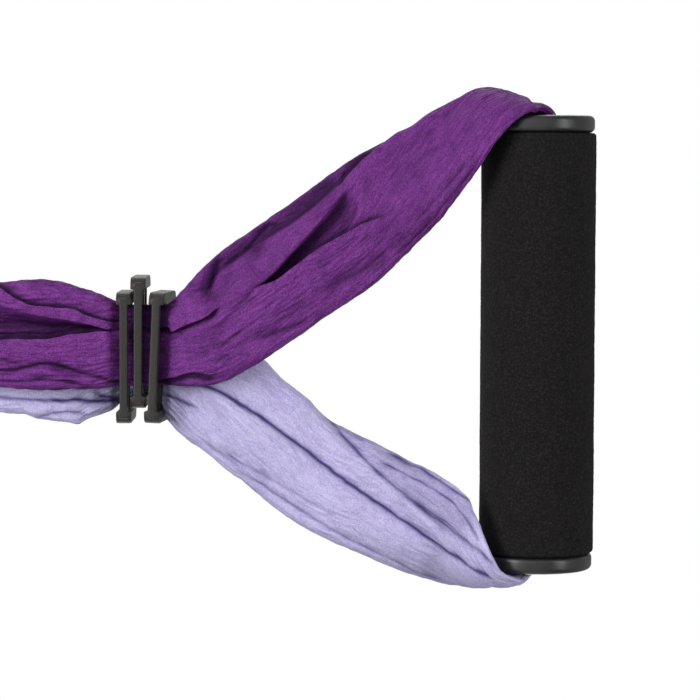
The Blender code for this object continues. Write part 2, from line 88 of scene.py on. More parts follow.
# Lamps: place from the middle of the loop, width, height and power
LOOP_MIDDLE = (0.0, 0.0, -0.165)
LAMPS = (
    ("left_light", (0.17, -0.46, 0.64), 0.32, 0.66, 7.3),
    ("right_light", (0.12, -0.46, -0.60), 0.20, 0.64, 3.0),
    ("front_light", (0.35, -1.10, 0.10), 0.90, 0.90, 1.6),
    ("back_upper_light", (0.80, 0.90, -0.05), 0.60, 0.60, 3.6),
    ("back_lower_light", (-0.80, 0.90, -0.05), 0.60, 0.60, 3.6),
)
SOFT_LIGHT = (0.95, 0.97, 1.0, 1.0)
SOFT_LIGHT_STRENGTH = 0.20
WHITE = (1.0, 1.0, 1.0, 1.0)
FLOOR_HEIGHT = -0.95
FLOOR_RADIUS = 2.2
FLOOR_SIDES = 96
FLOOR_COLOUR = (0.86, 0.86, 0.85, 1.0)
FLOOR_ROUGHNESS = 0.9
FLOOR_GLOW = 0.68

# The slides: slots and bars as in the CAD, heads a little smaller and rounder, and how much
# their edges are smoothed
SLOT_LENGTH = 0.0333
SLOT_DEPTH = 0.0080
BAR_DEPTH = 0.0030
BAR_THICKNESS = 0.0025
BAR_STEP = 0.0001
BAR_RUN_OUT = 0.0021
HEAD_LENGTH = 0.0038
HEAD_THICKNESS = 0.0048
HEAD_CORNER_RADIUS = 0.0034
SLIDE_DEPTH = 3 * BAR_DEPTH + 2 * SLOT_DEPTH
SLIDE_SKIN = 0.00022
SLIDE_ROUNDING = 0.5
SLIDE_ROUNDING_STEPS = 12

# Each slide: how far above the middle one, how far it is pushed along +X, tilt and lean
STACK_HEIGHT = 0.1248
STACK_SHIFT = -0.0046
SLIDES = (
    ("outer", 0.00445, 0.0, 0.0, 0.0),
    ("middle", 0.0, 0.0048, math.radians(0.2), 0.0),
    ("inner", -0.0049, 0.0, math.radians(2.4), math.radians(6.0)),
)

# The cloth's finish, on a flat map in metres: scale, detail and roughness of each grain, scale,
# width and weight of the fine crinkle lines, whose grooves are painted darker as painted shade,
# and how much each counts in colour and relief
BROAD_GRAIN = (75.0, 2.0, 0.55)
STREAK_GRAIN = (900.0, 3.0, 0.6)
FINE_GRAIN = (1500.0, 2.0, 0.6)
SPECK_GRAIN = (3000.0, 1.0, 0.55)
STREAK_STRETCH = (1.0, 0.30, 1.0)
CRINKLE_LINES = ((150.0, 0.030, 0.5), (420.0, 0.045, 0.5))
CRINKLE_GRAIN = (3.0, 0.5)
# Painted shade in the crinkle lines' grooves: how much darker they are painted, and the colour
# share elsewhere
CRINKLE_GROOVE_SHADE = (-0.22, 0.53)
COLOUR_WEIGHTS = (0.6, 1.0, 1.3, 1.3)
RELIEF_WEIGHTS = (0.70, 0.55, 0.25, -0.5, 0.02)
CLOTH_ROUGHNESS = (0.22, 0.52)
THREAD_PITCH = 0.00030

# Speckles: detail and roughness of the grains, and the scales of the finer ones and the cells
COARSE_SPECKLE = (3.0, 0.6)
FINER_SPECKLE = (2.0, 0.55)
FINER_SCALE = 2.7
CELL_SCALE = 1.2
SPECKLE_SPREAD = (1.2, -0.6)
SPECKLE_ROUGHNESS_FROM = (0.3, 0.7)
CELL_RELIEF = 0.6

# Finishes: the values for the sockets, then the bump's strength and depth, and the specular level
# The fourth colour of each cloth is the tint of the shade painted into its folds and between the
# slides' bars
CLOTH_SOCKETS = ("Dark", "Middle", "Light", "Crease Tint", "Contrast")
CLOTH_FINISHES = {
    "purple_nylon_cloth": ((0.070, 0.0125, 0.106), (0.135, 0.0265, 0.187), (0.225, 0.050, 0.285),
                           (0.17, 0.11, 0.19), 1.0, 1.0, 0.00035, 0.12),
    "lilac_nylon_cloth": ((0.330, 0.295, 0.555), (0.475, 0.432, 0.680), (0.620, 0.580, 0.800),
                          (0.12, 0.095, 0.24), 0.8, 0.9, 0.00035, 0.12),
}
SPECKLE_SOCKETS = ("Dark", "Middle", "Light", "Scale", "Contrast", "Roughness Low",
                   "Roughness High")
SPECKLED_FINISHES = {
    "black_foam": ((0.0050, 0.0045, 0.0045), (0.011, 0.0105, 0.0105), (0.034, 0.030, 0.029),
                   1300.0, 1.1, 0.80, 0.98, 0.9, 0.00030, 0.05),
    "gloss_black_plastic": ((0.0060, 0.0060, 0.0068), (0.0095, 0.0095, 0.0105),
                            (0.015, 0.015, 0.016), 420.0, 0.5, 0.32, 0.42, 0.05, 0.00010, 0.40),
    "slide_black_plastic": ((0.0145, 0.0135, 0.012), (0.0225, 0.0208, 0.0190),
                            (0.037, 0.034, 0.030), 1500.0, 0.8, 0.40, 0.54, 0.35, 0.00012, 0.22),
    "tube_plastic": ((0.16, 0.16, 0.17), (0.20, 0.20, 0.21), (0.24, 0.24, 0.25),
                     700.0, 0.6, 0.40, 0.55, 0.2, 0.00010, 0.5),
    "purple_thread": ((0.090, 0.018, 0.130), (0.170, 0.035, 0.230), (0.280, 0.070, 0.350),
                      2600.0, 1.0, 0.45, 0.65, 0.6, 0.00015, 0.3),
}

Row = namedtuple("Row", "way upper middle lower half_thickness")
Crease = namedtuple("Crease", "points depth upper_width lower_width")
Hollow = namedtuple("Hollow", "points depth upper_width lower_width")
Pocket = namedtuple("Pocket", "upper lower depth wall floor edge fades shade reach")
Lip = namedtuple("Lip", "points top tuck rise drop width upper_spread lower_spread fades",
                 defaults=((6.0, 6.0),))

# Ways along a strip: 0 at the slides, 1 at the flange and -1 where the eye begins
EYE_WAY = -2.27
EYE_RING_WAY = -2.0
EYE_SHORT_WAY = -1.215
EYE_END_WAY = -1.0
TUBE_WAY = 1.6
EYE_MIDDLE_RADIUS = 0.0117
EYE_HALF_THICKNESS = 0.0037
EYE_RING_DEGREES = (6.0, 192.0)
EYE_STEPS = 8
EYE_EDGES = (11.2, -15.8)

# The lapped ends at the rear of the eye: way, angle from the rear, how far out, half thickness
PURPLE_LAP_ROWS = (
    (-2.27, -40, 1.9, 0.3),
    (-2.255, -38.5, 1.9, 1),
    (-2.23, -36, 1.9, 1.4),
    (-2.16, -25, 1.9, 1.6),
    (-2.09, -12, 1.9, 1.7),
    (-2.04, -3, 1.6, 2),
    (-2, 6, 0.9, 2.8),
)
LILAC_LAP_ROWS = (
    (-1.215, 7, -1.9, 0.3),
    (-1.205, 5.5, -1.9, 1),
    (-1.18, 3, -1.9, 1.4),
    (-1.10, -12, -1.9, 1.7),
    (-1, -34, -1.9, 1.8),
    (-0.93, -46, -0.7, 2.8),
)
STITCH_DEGREES = (-13.0, -23.0, -33.0)
STITCH_COUNT = 10
STITCH_SPAN = (9.6, -14.2)
STITCH_SHARE = 0.74
STITCH_RADIUS = 0.28
STITCH_SINK = 0.22
STITCH_RINGS = 7
STITCH_SIDES = 6
STITCH_NEAR = 0.4
STITCH_NEAR_DEGREES = 2.5

# Rows that face the front: way, upper edge (x, height), lower edge (x, height), depth along Y,
# half thickness, and how far the lower edge leans out to the front, in millimetres
PURPLE_FRONT_ROWS = (
    (-0.73, (11.2, 198), (-15.7, 198), -3.7, 3.3),
    (-0.60, (16.2, 184.8), (-14.2, 184.8), -4.1, 3.6),
    (-0.44, (18.4, 168.8), (-14, 168.8), -4.1, 3.7),
    (-0.32, (19.4, 156.8), (-14.7, 156.8), -4.1, 3.7),
    (-0.24, (18.4, 148.8), (-14.5, 148.8), -4.1, 3.7),
    (-0.14, (15.5, 138.8), (-14.2, 138.8), -4.2, 3.6),
    (-0.091, (13.3, 133.5), (-13.2, 133.5), -5.3, 3.3),
    (-0.066, (12, 131), (-13.1, 131), -5.5, 3.2),
    (0, (11.5, 124.8), (-13.1, 124.8), -5.5, 3.2),
    (0.074, (11.5, 117.9), (-13.1, 117.6), -5.5, 3.2),
    (0.100, (12.2, 115), (-13.1, 114.8), -5.6, 3.3),
    (0.155, (17.2, 110.3), (-13.3, 106.5), -5.8, 3.6),
    (0.21, (23, 105.2), (-12.2, 98.9), -5.9, 3.8),
    (0.28, (29.5, 97.5), (-7.2, 89.4), -6, 3.9),
    (0.36, (35.4, 89.4), (0, 78.6), -6.1, 3.9),
    (0.45, (42.1, 79.9), (8.4, 66.6), -6.3, 3.9),
    (0.55, (49.9, 68.8), (17.6, 52.9), -6.6, 3.9),
    (0.64, (57.2, 58.5), (26.5, 43.2), -6.8, 3.9),
)
LILAC_FRONT_ROWS = (
    (-0.73, (11.2, 198), (-15.7, 198), 3.7, 3.3),
    (-0.60, (10, 184.8), (-19.8, 184.8), 4.1, 3.6),
    (-0.44, (7.9, 168.8), (-22.6, 168.8), 4.1, 3.7),
    (-0.36, (6.9, 160.8), (-23.2, 160.8), 4.1, 3.7),
    (-0.33, (6.4, 157.8), (-24.4, 157.8), 4.1, 3.7),
    (-0.24, (5.6, 148.8), (-25.6, 148.8), 4.1, 3.7),
    (-0.195, (5.2, 144.3), (-26.1, 144.3), 4.1, 3.7),
    (-0.175, (5.3, 142.3), (-24.9, 142.3), 4.1, 3.6),
    (-0.15, (5.5, 139.8), (-23.8, 139.8), 4.2, 3.6),
    (-0.091, (8.3, 133.9), (-21.7, 133.9), 5.2, 3.3),
    (-0.062, (8.5, 131), (-19.2, 131), 5.5, 3.2),
    (-0.030, (8.5, 127.8), (-16.9, 127.8), 5.5, 3.2),
    (0, (8.5, 124.8), (-15.9, 124.8), 5.5, 3.2),
    (0.040, (8.5, 121), (-16.8, 121.4), 5.5, 3.2),
    (0.074, (8.5, 117.4), (-18.6, 119), 5.5, 3.2, 3.5),
    (0.105, (7.8, 113.6), (-20.6, 118), 4.4, 3.3, 5.3),
    (0.155, (5, 104.6), (-23.6, 116.4), 3.4, 3.5, 5.8),
    (0.21, (0.6, 95.4), (-29.3, 111.4), 2.7, 3.7, 4.6),
    (0.28, (-5, 86.8), (-34.5, 104.3), 2.2, 3.8, 3.2),
    (0.36, (-12.2, 80), (-39.8, 98), 1.8, 3.8, 2),
    (0.44, (-18, 72.6), (-45, 90.9), 1.3, 3.8, 1),
    (0.52, (-24.6, 66), (-52.2, 82.7), 0.9, 3.8),
    (0.60, (-28.9, 58), (-58.1, 73.6), -0.3, 3.8),
    (0.68, (-32.2, 50.2), (-62.5, 64.6), -1.2, 3.8),
)

# Rows that turn edge on over the flange: way, upper edge, middle and lower edge (x, y, height),
# and half thickness, in millimetres. The last ones lie in the tube.
PURPLE_RIM_ROWS = (
    (0.73, (63.4, -4.3, 48.2), (49.2, -7, 41.3), (36, -9.6, 34.3), 3.8),
    (0.81, (67.8, -1.6, 39.7), (56, -7.2, 33.5), (44.6, -12.8, 27.2), 3.4),
    (0.89, (74, 2.4, 29.6), (63.6, -7.4, 26.4), (54.2, -17.2, 20.8), 2.8),
    (0.95, (76.9, 5.2, 23), (70.2, -7.6, 22.8), (63.2, -19.4, 14.9), 2.4),
    (1, (78.5, 6.9, 17.2), (74.8, -7, 19.2), (69.7, -19.4, 8.8), 2.1),
    (1.06, (78.2, 8.3, 11), (76.8, -4.6, 12.2), (73.4, -16.4, 2.6), 1.7),
    (1.12, (75.6, 8.4, 5.7), (74.8, -2, 4.6), (73.2, -11.6, -1.4), 1.7),
    (1.18, (69.8, 7.4, 1.8), (70, -0.5, -0.8), (69.8, -8, -3.4), 3.2),
    (1.26, (60.5, 8.2, 0), (60.5, 0, 0), (60.5, -8.2, 0), 6.3),
    (1.40, (32.9, 8.2, 0), (32.9, 0, 0), (32.9, -8.2, 0), 6.6),
    (1.60, (0.2, 8.2, 0), (0.2, 0, 0), (0.2, -8.2, 0), 6.6),
)
LILAC_RIM_ROWS = (
    (0.76, (-37.4, -4, 40.8), (-52.1, -2.2, 47.6), (-67, -0.4, 55), 3.7),
    (0.83, (-41.4, -7.6, 32), (-57, -3.2, 38.6), (-71.3, 1.6, 45.2), 3.5),
    (0.89, (-47.4, -12.6, 23.6), (-61.8, -4, 30.8), (-74.4, 4.4, 36.2), 3.1),
    (0.95, (-60, -17, 17.8), (-69.2, -4.6, 24.6), (-76.1, 7.4, 26.8), 2.7),
    (1, (-69.2, -19, 13.4), (-74, -5, 19), (-75.6, 9.2, 18.2), 2.4),
    (1.06, (-73.4, -16.4, 6.8), (-74.3, -3.1, 12.8), (-74.3, 10.1, 12), 2),
    (1.12, (-72.6, -12.4, 3.6), (-72.6, -1.4, 7.6), (-72.6, 9.2, 7.8), 2.1),
    (1.18, (-68.1, -8.6, 2), (-68.5, -0.3, 3.2), (-68.8, 8.2, 4.2), 4),
    (1.26, (-60.4, -8.2, 0), (-60.5, 0, 0), (-60.5, 8.2, 0), 6.2),
    (1.40, (-32.9, -8.2, 0), (-32.9, 0, 0), (-32.9, 8.2, 0), 6.6),
    (1.60, (-0.2, -8.2, 0), (-0.2, 0, 0), (-0.2, 8.2, 0), 6.6),
)

# Folds on the front, along lines of (x, height), in millimetres. A crease is pressed in sharply
# and a hollow softly, each with its depth and its width above and below the line, and a ridge is
# a hollow with a negative depth. A pocket is pressed in between two lines: its wall is the share
# of its width over which it falls from the upper line, its floor the share of the depth that is
# left near the lower one, its edge the width of the rise there, its fades the lengths over which
# it runs out at both ends, its shade how much painted shade darkens its colour and its reach how
# far down from the upper line that painted shade reaches. At a lip one layer lies over another:
# the upper side is on top where top is 1, and the lower side where it is -1. Creases and lips
# also get a dark line of painted shade along them.
PURPLE_LEG_FOLDS = (
    Pocket(((16.5, 89), (18.2, 86.8), (22.8, 82), (27.3, 78.2), (34.2, 71.8), (42, 65.2),
        (47.6, 61.2), (51.2, 58)), ((15, 91), (17.3, 87), (19.4, 81.5), (23.2, 76.5), (27.2, 71.4),
        (31.2, 65.1), (34.4, 60.5), (39, 57), (44.5, 55.5), (50.5, 55.5)), 4.6, 0.42, 0.45, 1.1,
        (2, 12), 0.60, 4.2),
    Lip(((15, 92), (17.3, 87), (19.4, 81.5), (23.2, 76.5), (27.2, 71.4), (31.2, 65.1), (33.8, 60.5),
        (36.6, 55.5), (39.6, 48.5), (42, 42)), -1, 1.3, 0.8, 0.4, 1.1, 2.2, 4, (6, 14)),
    Hollow(((24.1, 73.6), (28.8, 68.3), (31.9, 62.5), (34.8, 56), (37.7, 49.4), (41, 42)), -0.9,
        2.6, 3.4),
    Pocket(((76, 31), (71.4, 39.2), (62.5, 53.6), (54.9, 65.8), (44, 81.5), (37.6, 90.3),
        (28.5, 101), (22, 108.5)), ((73.5, 33.5), (70.2, 38.4), (66.9, 42.6), (62.1, 48.8),
        (56.6, 55.1), (51.1, 60.2), (47.3, 64.5), (42.6, 69.7), (36.9, 77.2), (31.5, 86), (25, 95),
        (18, 104)), 2.6, 1, 1, 1.1, (3, 12), 0.46, 30),
    Pocket(((80, 31), (66.5, 52), (58.5, 65), (47.5, 82), (40.5, 91), (29, 106), (20, 116)),
        ((71, 36), (57, 53), (51.2, 58), (42, 65.2), (34.2, 71.8), (27.3, 78.2), (18.2, 87),
        (9, 98), (1, 106)), 0.5, 0.5, 1, 2, (12, 8), 0.15, 60),
    Hollow(((75.5, 31.5), (70.3, 40.4), (62.3, 52.8), (54.7, 65.1), (43.9, 80.8), (37.5, 89.6),
        (29.3, 100)), -0.9, 0.8, 0.9),
    Lip(((75, 32), (71.2, 37.4), (66.9, 42.6), (62.1, 48.8), (56.6, 55.1), (51.1, 60.2),
        (48.2, 63.6)), -1, 1.3, 0.9, 0.4, 1.1, 1.6, 4, (4, 6)),
    Hollow(((52, 62.5), (43, 73), (35.8, 81.5), (28.5, 90), (20, 98.5), (11.5, 106)), 2.2, 4.5,
        3.6),
    Hollow(((39, 81), (33.3, 85.3), (28.9, 87.8), (24.5, 90.5)), 2.3, 2.6, 1.8),
    Hollow(((28.5, 98.5), (22.6, 101.2), (19.5, 102.6), (13.5, 104.5)), 2.4, 1.5, 1.5),
    Hollow(((26.5, 103), (21, 105), (16, 107.5)), -0.8, 1.7, 1.7),
    Lip(((5, 126), (5.5, 118.5), (5.9, 115.8), (4.3, 114.5), (5.9, 111.1), (7.7, 106.9),
        (9.6, 102.8), (12, 98.2)), 1, 1.4, 1.2, 1.1, 1.2, 3.8, 2),
    Hollow(((1, 104), (4, 100.2), (7.3, 97.1), (10.1, 94.2), (13.4, 92.1), (17.5, 87)), 1.1, 1.5,
        3),
    Crease(((-3.5, 102), (-2.6, 100.8), (0.7, 97.1), (3.6, 93.4), (6.5, 90)), 0.8, 1.2, 0.9),
    Lip(((-12.6, 126), (-11.8, 119.7), (-10.7, 113.9), (-9, 108.2), (-9.7, 102.8), (-8.4, 98.5)), 1,
        0.4, 0.5, 0.8, 1.3, 2.6, 2),
    Crease(((0.5, 90), (1.9, 86.4), (4.6, 79), (8, 70.5)), 0.8, 1.5, 1),
    Hollow(((15.5, 68), (18, 64.2), (21.7, 57.6), (25.4, 49.4), (28, 45)), 1.2, 2.4, 2.2),
    Crease(((26.2, 45.5), (36, 36.9), (41.8, 32), (50, 25.4), (58.8, 18.4)), 0.9, 1.2, 0.7),
    Crease(((36.5, 40), (39.3, 37.9), (45.9, 32.1), (54.1, 25.5), (62.5, 18.2)), 0.7, 1.4, 0.9),
    Hollow(((36, 54), (45.9, 40.5), (55.8, 28.2), (66, 18.5)), -0.8, 3, 3),
    Hollow(((56, 52), (62, 42), (69, 29)), 0.7, 2.6, 2.6),
    Hollow(((13, 96), (20, 86.5), (29, 78), (40.5, 68.5), (49, 61.5)), -1.3, 2.6, 1.6),
    Hollow(((-8, 101), (2, 88), (14, 68), (28, 47), (44, 30)), 1.2, 3, 5),
    Hollow(((88, 3.2), (80, 2.8), (76, 2.2), (72.5, 1), (67, -1)), 2.2, 1.2, 1.1),
)
LILAC_LEG_FOLDS = (
    Crease(((-10.5, 116.5), (-11.4, 112.3), (-13.2, 106), (-15.4, 99.7), (-19.4, 93.4),
        (-23.3, 87.2), (-28, 80.9), (-32.6, 74.6), (-37.4, 68.3), (-42.2, 62), (-46.6, 55.7),
        (-50.9, 49.4), (-55.3, 43.1), (-59.7, 36.8), (-64, 30.6), (-67.9, 24.3), (-71.4, 18),
        (-74, 12)), 2.1, 2.6, 1.7),
    Crease(((-20, 69.5), (-28, 62.6), (-35.2, 55.7), (-41.3, 49.4), (-46.5, 43.1), (-52, 36.8),
        (-56.6, 30.6), (-60.6, 24.3), (-65.1, 18), (-69.5, 12.5)), 1.3, 1.6, 2.4),
    Pocket(((-8, 72), (-19, 62), (-27, 54), (-33, 44), (-40, 33), (-48, 22), (-58, 14)),
        ((-19, 70.5), (-26.6, 65), (-34, 57.6), (-40.6, 51), (-46.4, 44.5), (-52.1, 37.9),
        (-57.1, 32.1), (-62, 26.4), (-66.1, 20.6), (-69.5, 14.5)), 0.5, 0.3, 1, 0.8, (8, 10), 0.30,
        40),
    Crease(((-35.5, 52), (-37.7, 48.6), (-42.3, 39.5), (-46.4, 32.1), (-50.5, 26.4), (-57.1, 21.4),
        (-62, 18)), 1.3, 1.5, 1),
    Crease(((-48.5, 41), (-51.9, 36.2), (-55, 31.8), (-57.2, 27.4), (-60.4, 24.9), (-62.6, 21.8),
        (-66, 16.1)), 1.2, 1.6, 1),
    Crease(((-44, 42.5), (-47.5, 37), (-51.5, 31), (-54.5, 27)), 0.7, 1.2, 0.9),
    Crease(((-33.5, 50), (-36.8, 43.1), (-39.8, 36.8), (-43.7, 30.6), (-47.5, 24.3), (-51.5, 18.5)),
        1.4, 1.2, 1),
    Crease(((-41.5, 91), (-44.7, 86.4), (-48.8, 80.6), (-53.8, 72.4), (-59.9, 62.5), (-65.3, 51.9),
        (-69.4, 43.6), (-73.5, 35.4), (-76.5, 26)), 0.9, 3, 0.9),
    Crease(((-33, 100), (-37.5, 93.5), (-43.4, 82.4)), 0.8, 1.6, 0.8),
    Crease(((-30, 106.5), (-35.5, 98.5), (-41, 91)), 0.6, 1.4, 0.8),
    Crease(((-40, 89.5), (-44.5, 81), (-49.5, 72.6)), 0.6, 1.4, 0.8),
    Crease(((-47, 77), (-52, 68), (-56.5, 60)), 0.5, 1.4, 0.8),
    Crease(((-38, 97.5), (-41.5, 92), (-46, 85)), 0.5, 1, 0.6),
    Hollow(((-2, 92), (-11, 81), (-19, 72), (-27, 61), (-32, 50)), 1.3, 5, 8.5),
    Crease(((-15, 123), (-15.3, 119.7), (-17.2, 114.3), (-19.4, 109.4), (-21.5, 103.8)), 1.2, 0.7,
        1.2),
    Hollow(((-14.5, 106), (-16.1, 104.1), (-20.2, 100.2), (-26, 93.5)), 0.9, 1.6, 2.4),
    Hollow(((-20, 112), (-34, 86.5), (-48, 68), (-60, 48), (-69, 30)), -1, 5, 5),
    Hollow(((-6.5, 92), (-8.6, 88.9), (-16.8, 82.3), (-23.4, 77.3), (-34.9, 64.2)), 0.5, 2, 3),
    Hollow(((-24, 70), (-36, 58.5), (-50, 42), (-62, 28.5)), -0.6, 1.6, 1.6),
)
PURPLE_TAIL_FOLDS = (
    Lip(((21, 181), (18.9, 174.6), (17.1, 168.9), (14.1, 164.3), (11.3, 159), (10.6, 153.7),
        (10.1, 147.6), (9.9, 144.5), (8.5, 142.2), (7.2, 138.4), (6.2, 134.6), (5.4, 129),
        (5, 122)), -1, 1.3, 0.9, 0.9, 1.1, 3, 2),
    Pocket(((15.5, 183), (13, 172), (10.5, 164.5), (8.8, 158), (7.8, 152), (7.2, 147.5),
        (6.3, 143.5), (5.6, 139.5), (4.4, 135.5), (3.5, 130)), ((-0.5, 183), (0.1, 174.6),
        (0.3, 168.9), (0.5, 161.3), (0.4, 153.7), (1.1, 149.8), (1.9, 146), (2.4, 142.2),
        (2.8, 138.4), (3, 134.6), (3.1, 130)), 5.4, 0.6, 1, 0.8, (8, 1.5), 0.46, 30),
    Lip(((-0.5, 183), (0.1, 174.6), (0.3, 168.9), (0.5, 161.3), (0.4, 153.7), (1.1, 149.8),
        (1.9, 146), (2.4, 142.2), (2.8, 138.4), (3, 134.6), (3.3, 129), (3.3, 122)), -1, 1.3, 0.8,
        0.3, 1.1, 2.5, 4.5),
    Crease(((-9.2, 184), (-8.6, 168.9), (-8.6, 163.2), (-7.5, 159.4), (-6.6, 155.6), (-6.7, 151.8),
        (-7.7, 147.6), (-9.6, 142.2), (-11, 136.5), (-12.4, 129)), 1.7, 1.4, 3.4),
    Crease(((-12.6, 181), (-12.2, 168.9), (-11.9, 161.3), (-11.5, 153.7), (-12.2, 147.6),
        (-13.2, 142.2), (-13.8, 136)), 1.2, 1.2, 0.9),
    Crease(((-4.8, 171), (-5.6, 167.4), (-6.3, 164.3), (-7.2, 159.5)), 0.9, 1.4, 0.9),
    Hollow(((-7, 154), (-9.3, 147.5), (-11.8, 140)), 1.2, 1.3, 1.5),
    Hollow(((3.5, 176), (3.4, 166), (3.6, 156), (3.8, 149)), -0.5, 0.9, 0.9),
)
LILAC_TAIL_FOLDS = (
    Crease(((-17, 181), (-17.8, 168.9), (-18.1, 165.1), (-18.5, 161.3), (-18.7, 157.5),
        (-19.3, 150.5)), 1.1, 1.6, 1.2),
    Crease(((-18.6, 156.5), (-18.9, 150), (-18.6, 145.3), (-18.9, 140.6), (-19.1, 135.9),
        (-18.7, 131.2), (-19.3, 125)), 1.9, 1.4, 1),
    Crease(((-15, 141), (-15.5, 139.6), (-17.3, 137.3), (-17.8, 134.6), (-18.5, 129)), 1.5, 1.3, 1),
    Crease(((-24.2, 160), (-23.9, 157.8), (-23, 152.9), (-22.5, 147.6), (-23, 142.2),
        (-23.6, 138.5)), 0.9, 1.2, 0.8),
)

# Long folds on the backs of the strips, which the photograph doesn't show
PURPLE_LEG_BACK_FOLDS = (
    Lip(((4, 118), (12, 108), (21, 95), (33, 77.5), (45, 60), (58, 44), (66, 33)), 1, 1, 0.9, 1.3,
        1.5, 4.5, 2.5),
    Lip(((-5, 118), (-2, 106), (4, 92), (15, 73), (28, 54), (42, 39)), -1, 1, 0.8, 1, 1.5, 2.5, 4),
    Crease(((1, 120), (6, 103), (13, 88), (23, 73)), 1.1, 2.6, 1.4),
    Crease(((30, 66), (38, 55), (48, 42), (56, 33)), 0.9, 1.4, 2.6),
    Hollow(((18, 86), (32, 66), (48, 46)), 1.4, 4, 5),
)
LILAC_LEG_BACK_FOLDS = (
    Lip(((-2, 120), (-8, 108), (-15, 94), (-26, 78.5), (-38, 62), (-50, 46), (-60, 34)), -1, 1, 0.9,
        1.2, 1.5, 2.5, 4.5),
    Lip(((-9, 120), (-18, 110), (-27, 99), (-37, 85.5), (-49, 69.5), (-59, 54)), 1, 1, 0.8, 1.1,
        1.5, 4, 2.5),
    Crease(((-6, 120), (-14, 106), (-22, 93), (-31, 82)), 1.1, 1.4, 2.6),
    Crease(((-40, 72), (-50, 57), (-58, 45), (-66, 34)), 0.9, 2.6, 1.4),
    Hollow(((-22, 92), (-38, 74), (-52, 56)), 1.4, 5, 4),
)
PURPLE_TAIL_BACK_FOLDS = (
    Lip(((12, 186), (11, 170), (9, 155), (6, 140), (4, 128)), 1, 1, 0.8, 1.1, 1.4, 3.5, 2.5),
    Crease(((-4, 188), (-7, 165), (-5, 150), (-8, 134)), 1.3, 1.4, 2.8),
    Crease(((4, 180), (2, 164), (1, 148), (-1, 134)), 0.9, 2.6, 1.4),
)
LILAC_TAIL_BACK_FOLDS = (
    Lip(((2, 194), (-1, 172), (-3, 155), (-4, 140), (-3, 128)), -1, 1, 0.8, 1.2, 1.4, 2.5, 3.5),
    Lip(((-12, 190), (-15, 170), (-16.5, 155), (-14, 140), (-10, 128)), 1, 0.9, 0.7, 1, 1.4, 3.5,
        2.5),
    Crease(((-6, 192), (-8.5, 174), (-10, 158), (-8, 142)), 1.1, 2.6, 1.4),
)

# Sheets: ways from and to, folds in front and behind, seed, strength of the crinkles, flat size
SHEETS = (
    ("purple_leg", 0.0, TUBE_WAY, PURPLE_LEG_FOLDS, PURPLE_LEG_BACK_FOLDS, 11, 1.3, (0.085, 0.21)),
    ("lilac_leg", 0.0, TUBE_WAY, LILAC_LEG_FOLDS, LILAC_LEG_BACK_FOLDS, 31, 1.3, (0.085, 0.21)),
    ("purple_tail", EYE_WAY, 0.0, PURPLE_TAIL_FOLDS, PURPLE_TAIL_BACK_FOLDS, 51, 2.2,
     (0.085, 0.125)),
    ("lilac_tail", EYE_SHORT_WAY, 0.0, LILAC_TAIL_FOLDS, LILAC_TAIL_BACK_FOLDS, 71, 1.8,
     (0.085, 0.085)),
)

# How the sheets are laid out: the distance between rows in metres, columns, and the shape of the
# strip's edge on the legs and in the tube
ROW_PITCH = 0.00074
FINE_WAYS = 1500
FRONT_COLUMNS = 220
BACK_COLUMNS = 120
EDGE_CROWDING = 0.45
EDGE_POWER = 7.0
TUBE_EDGE_POWER = 3.0
TUCK_COLUMNS = 8
TUCK_REACH = 0.0045
TUCK_RISE = 0.2

# Where along or across a strip something begins, and over how much it comes in. The throat's
# way counts up from the slides.
TUBE_EDGE_FROM = (0.78, 0.3)
CALM_FROM = (0.80, 0.18)
MOUTH_FROM = (0.78, 0.25)
THROAT_FROM = (0.45, 0.25)
BACK_BLEND_FROM = (0.7, 0.3)
EDGE_FADE = 0.06
OFF_GRIP_WAY = 0.6
SLIDES_WAY = 0.02
SLIDES_SPREAD = 0.16

# The slides' hold on the cloth, in millimetres: from and to which height it is pinched, and the
# blend there, and the same for the painted shade on the cloth between the bars; then how deep
# the pinch is and how dark that painted shade is
PINCH_HEIGHTS = (114.5, 134.8, 4.0)
SHADED_HEIGHTS = (117.4, 132.0, 1.4)
SLIDE_PINCH = 2.0
SLIDE_SHADE = 0.62

# How folds are formed, in millimetres or as shares of their width, and the noise that makes
# them uneven: its two lengths and its seed
LINE_PITCH = 2.0
LINE_ROUNDING = 0.25
LINE_FADE = 6.0
LINE_PER_FADE = 2.5
LINE_WOBBLE = 0.20
CREASE_WOBBLE = (2.8, 4.2, 7)
CREASE_UNEVENNESS = (6.0, 8.0, 8)
CREASE_STRENGTH = (0.95, 0.25)
LIP_WOBBLE = (3.0, 4.5, 9)
LIP_TUCK_GAIN = 2.6
LIP_TURN = 0.577
# How far under a lip its dark line of painted shade begins, and where and over how much that
# painted shade comes in
LIP_HIDDEN = 0.93
LIP_SHADE_FROM = 0.4
LIP_SHADE_OVER = 0.6
# Over what share of its width a pocket's painted shade comes in
POCKET_RIM = 0.16
POCKET_SLACK = 0.2
MOUTH_CALM = 0.55
DEEPEST_PRESS = 1.5

# How much shade is painted into the cloth's colour at its folds: for each cloth, its share
# between the slides and in its hollows, how deep a crease or a hollow is where its painted shade
# is darkest, and how far the relief is softened to find the hollows (axis, reach)
SHADES = {"purple": (1.0, 1.0), "lilac": (0.0, 0.62)}
DARKEST_CREASE = 2.0
DARKEST_HOLLOW = 0.62
LINE_SHADE = 0.36
LIP_SHADE = 0.55
CREASE_FULL = 1.1
HOLLOW_FULL = 3.2
NEAR_REACHES = ((0, 3), (1, 8), (0, 2), (1, 6))
FAR_REACHES = ((0, 9), (1, 30), (0, 6), (1, 20))

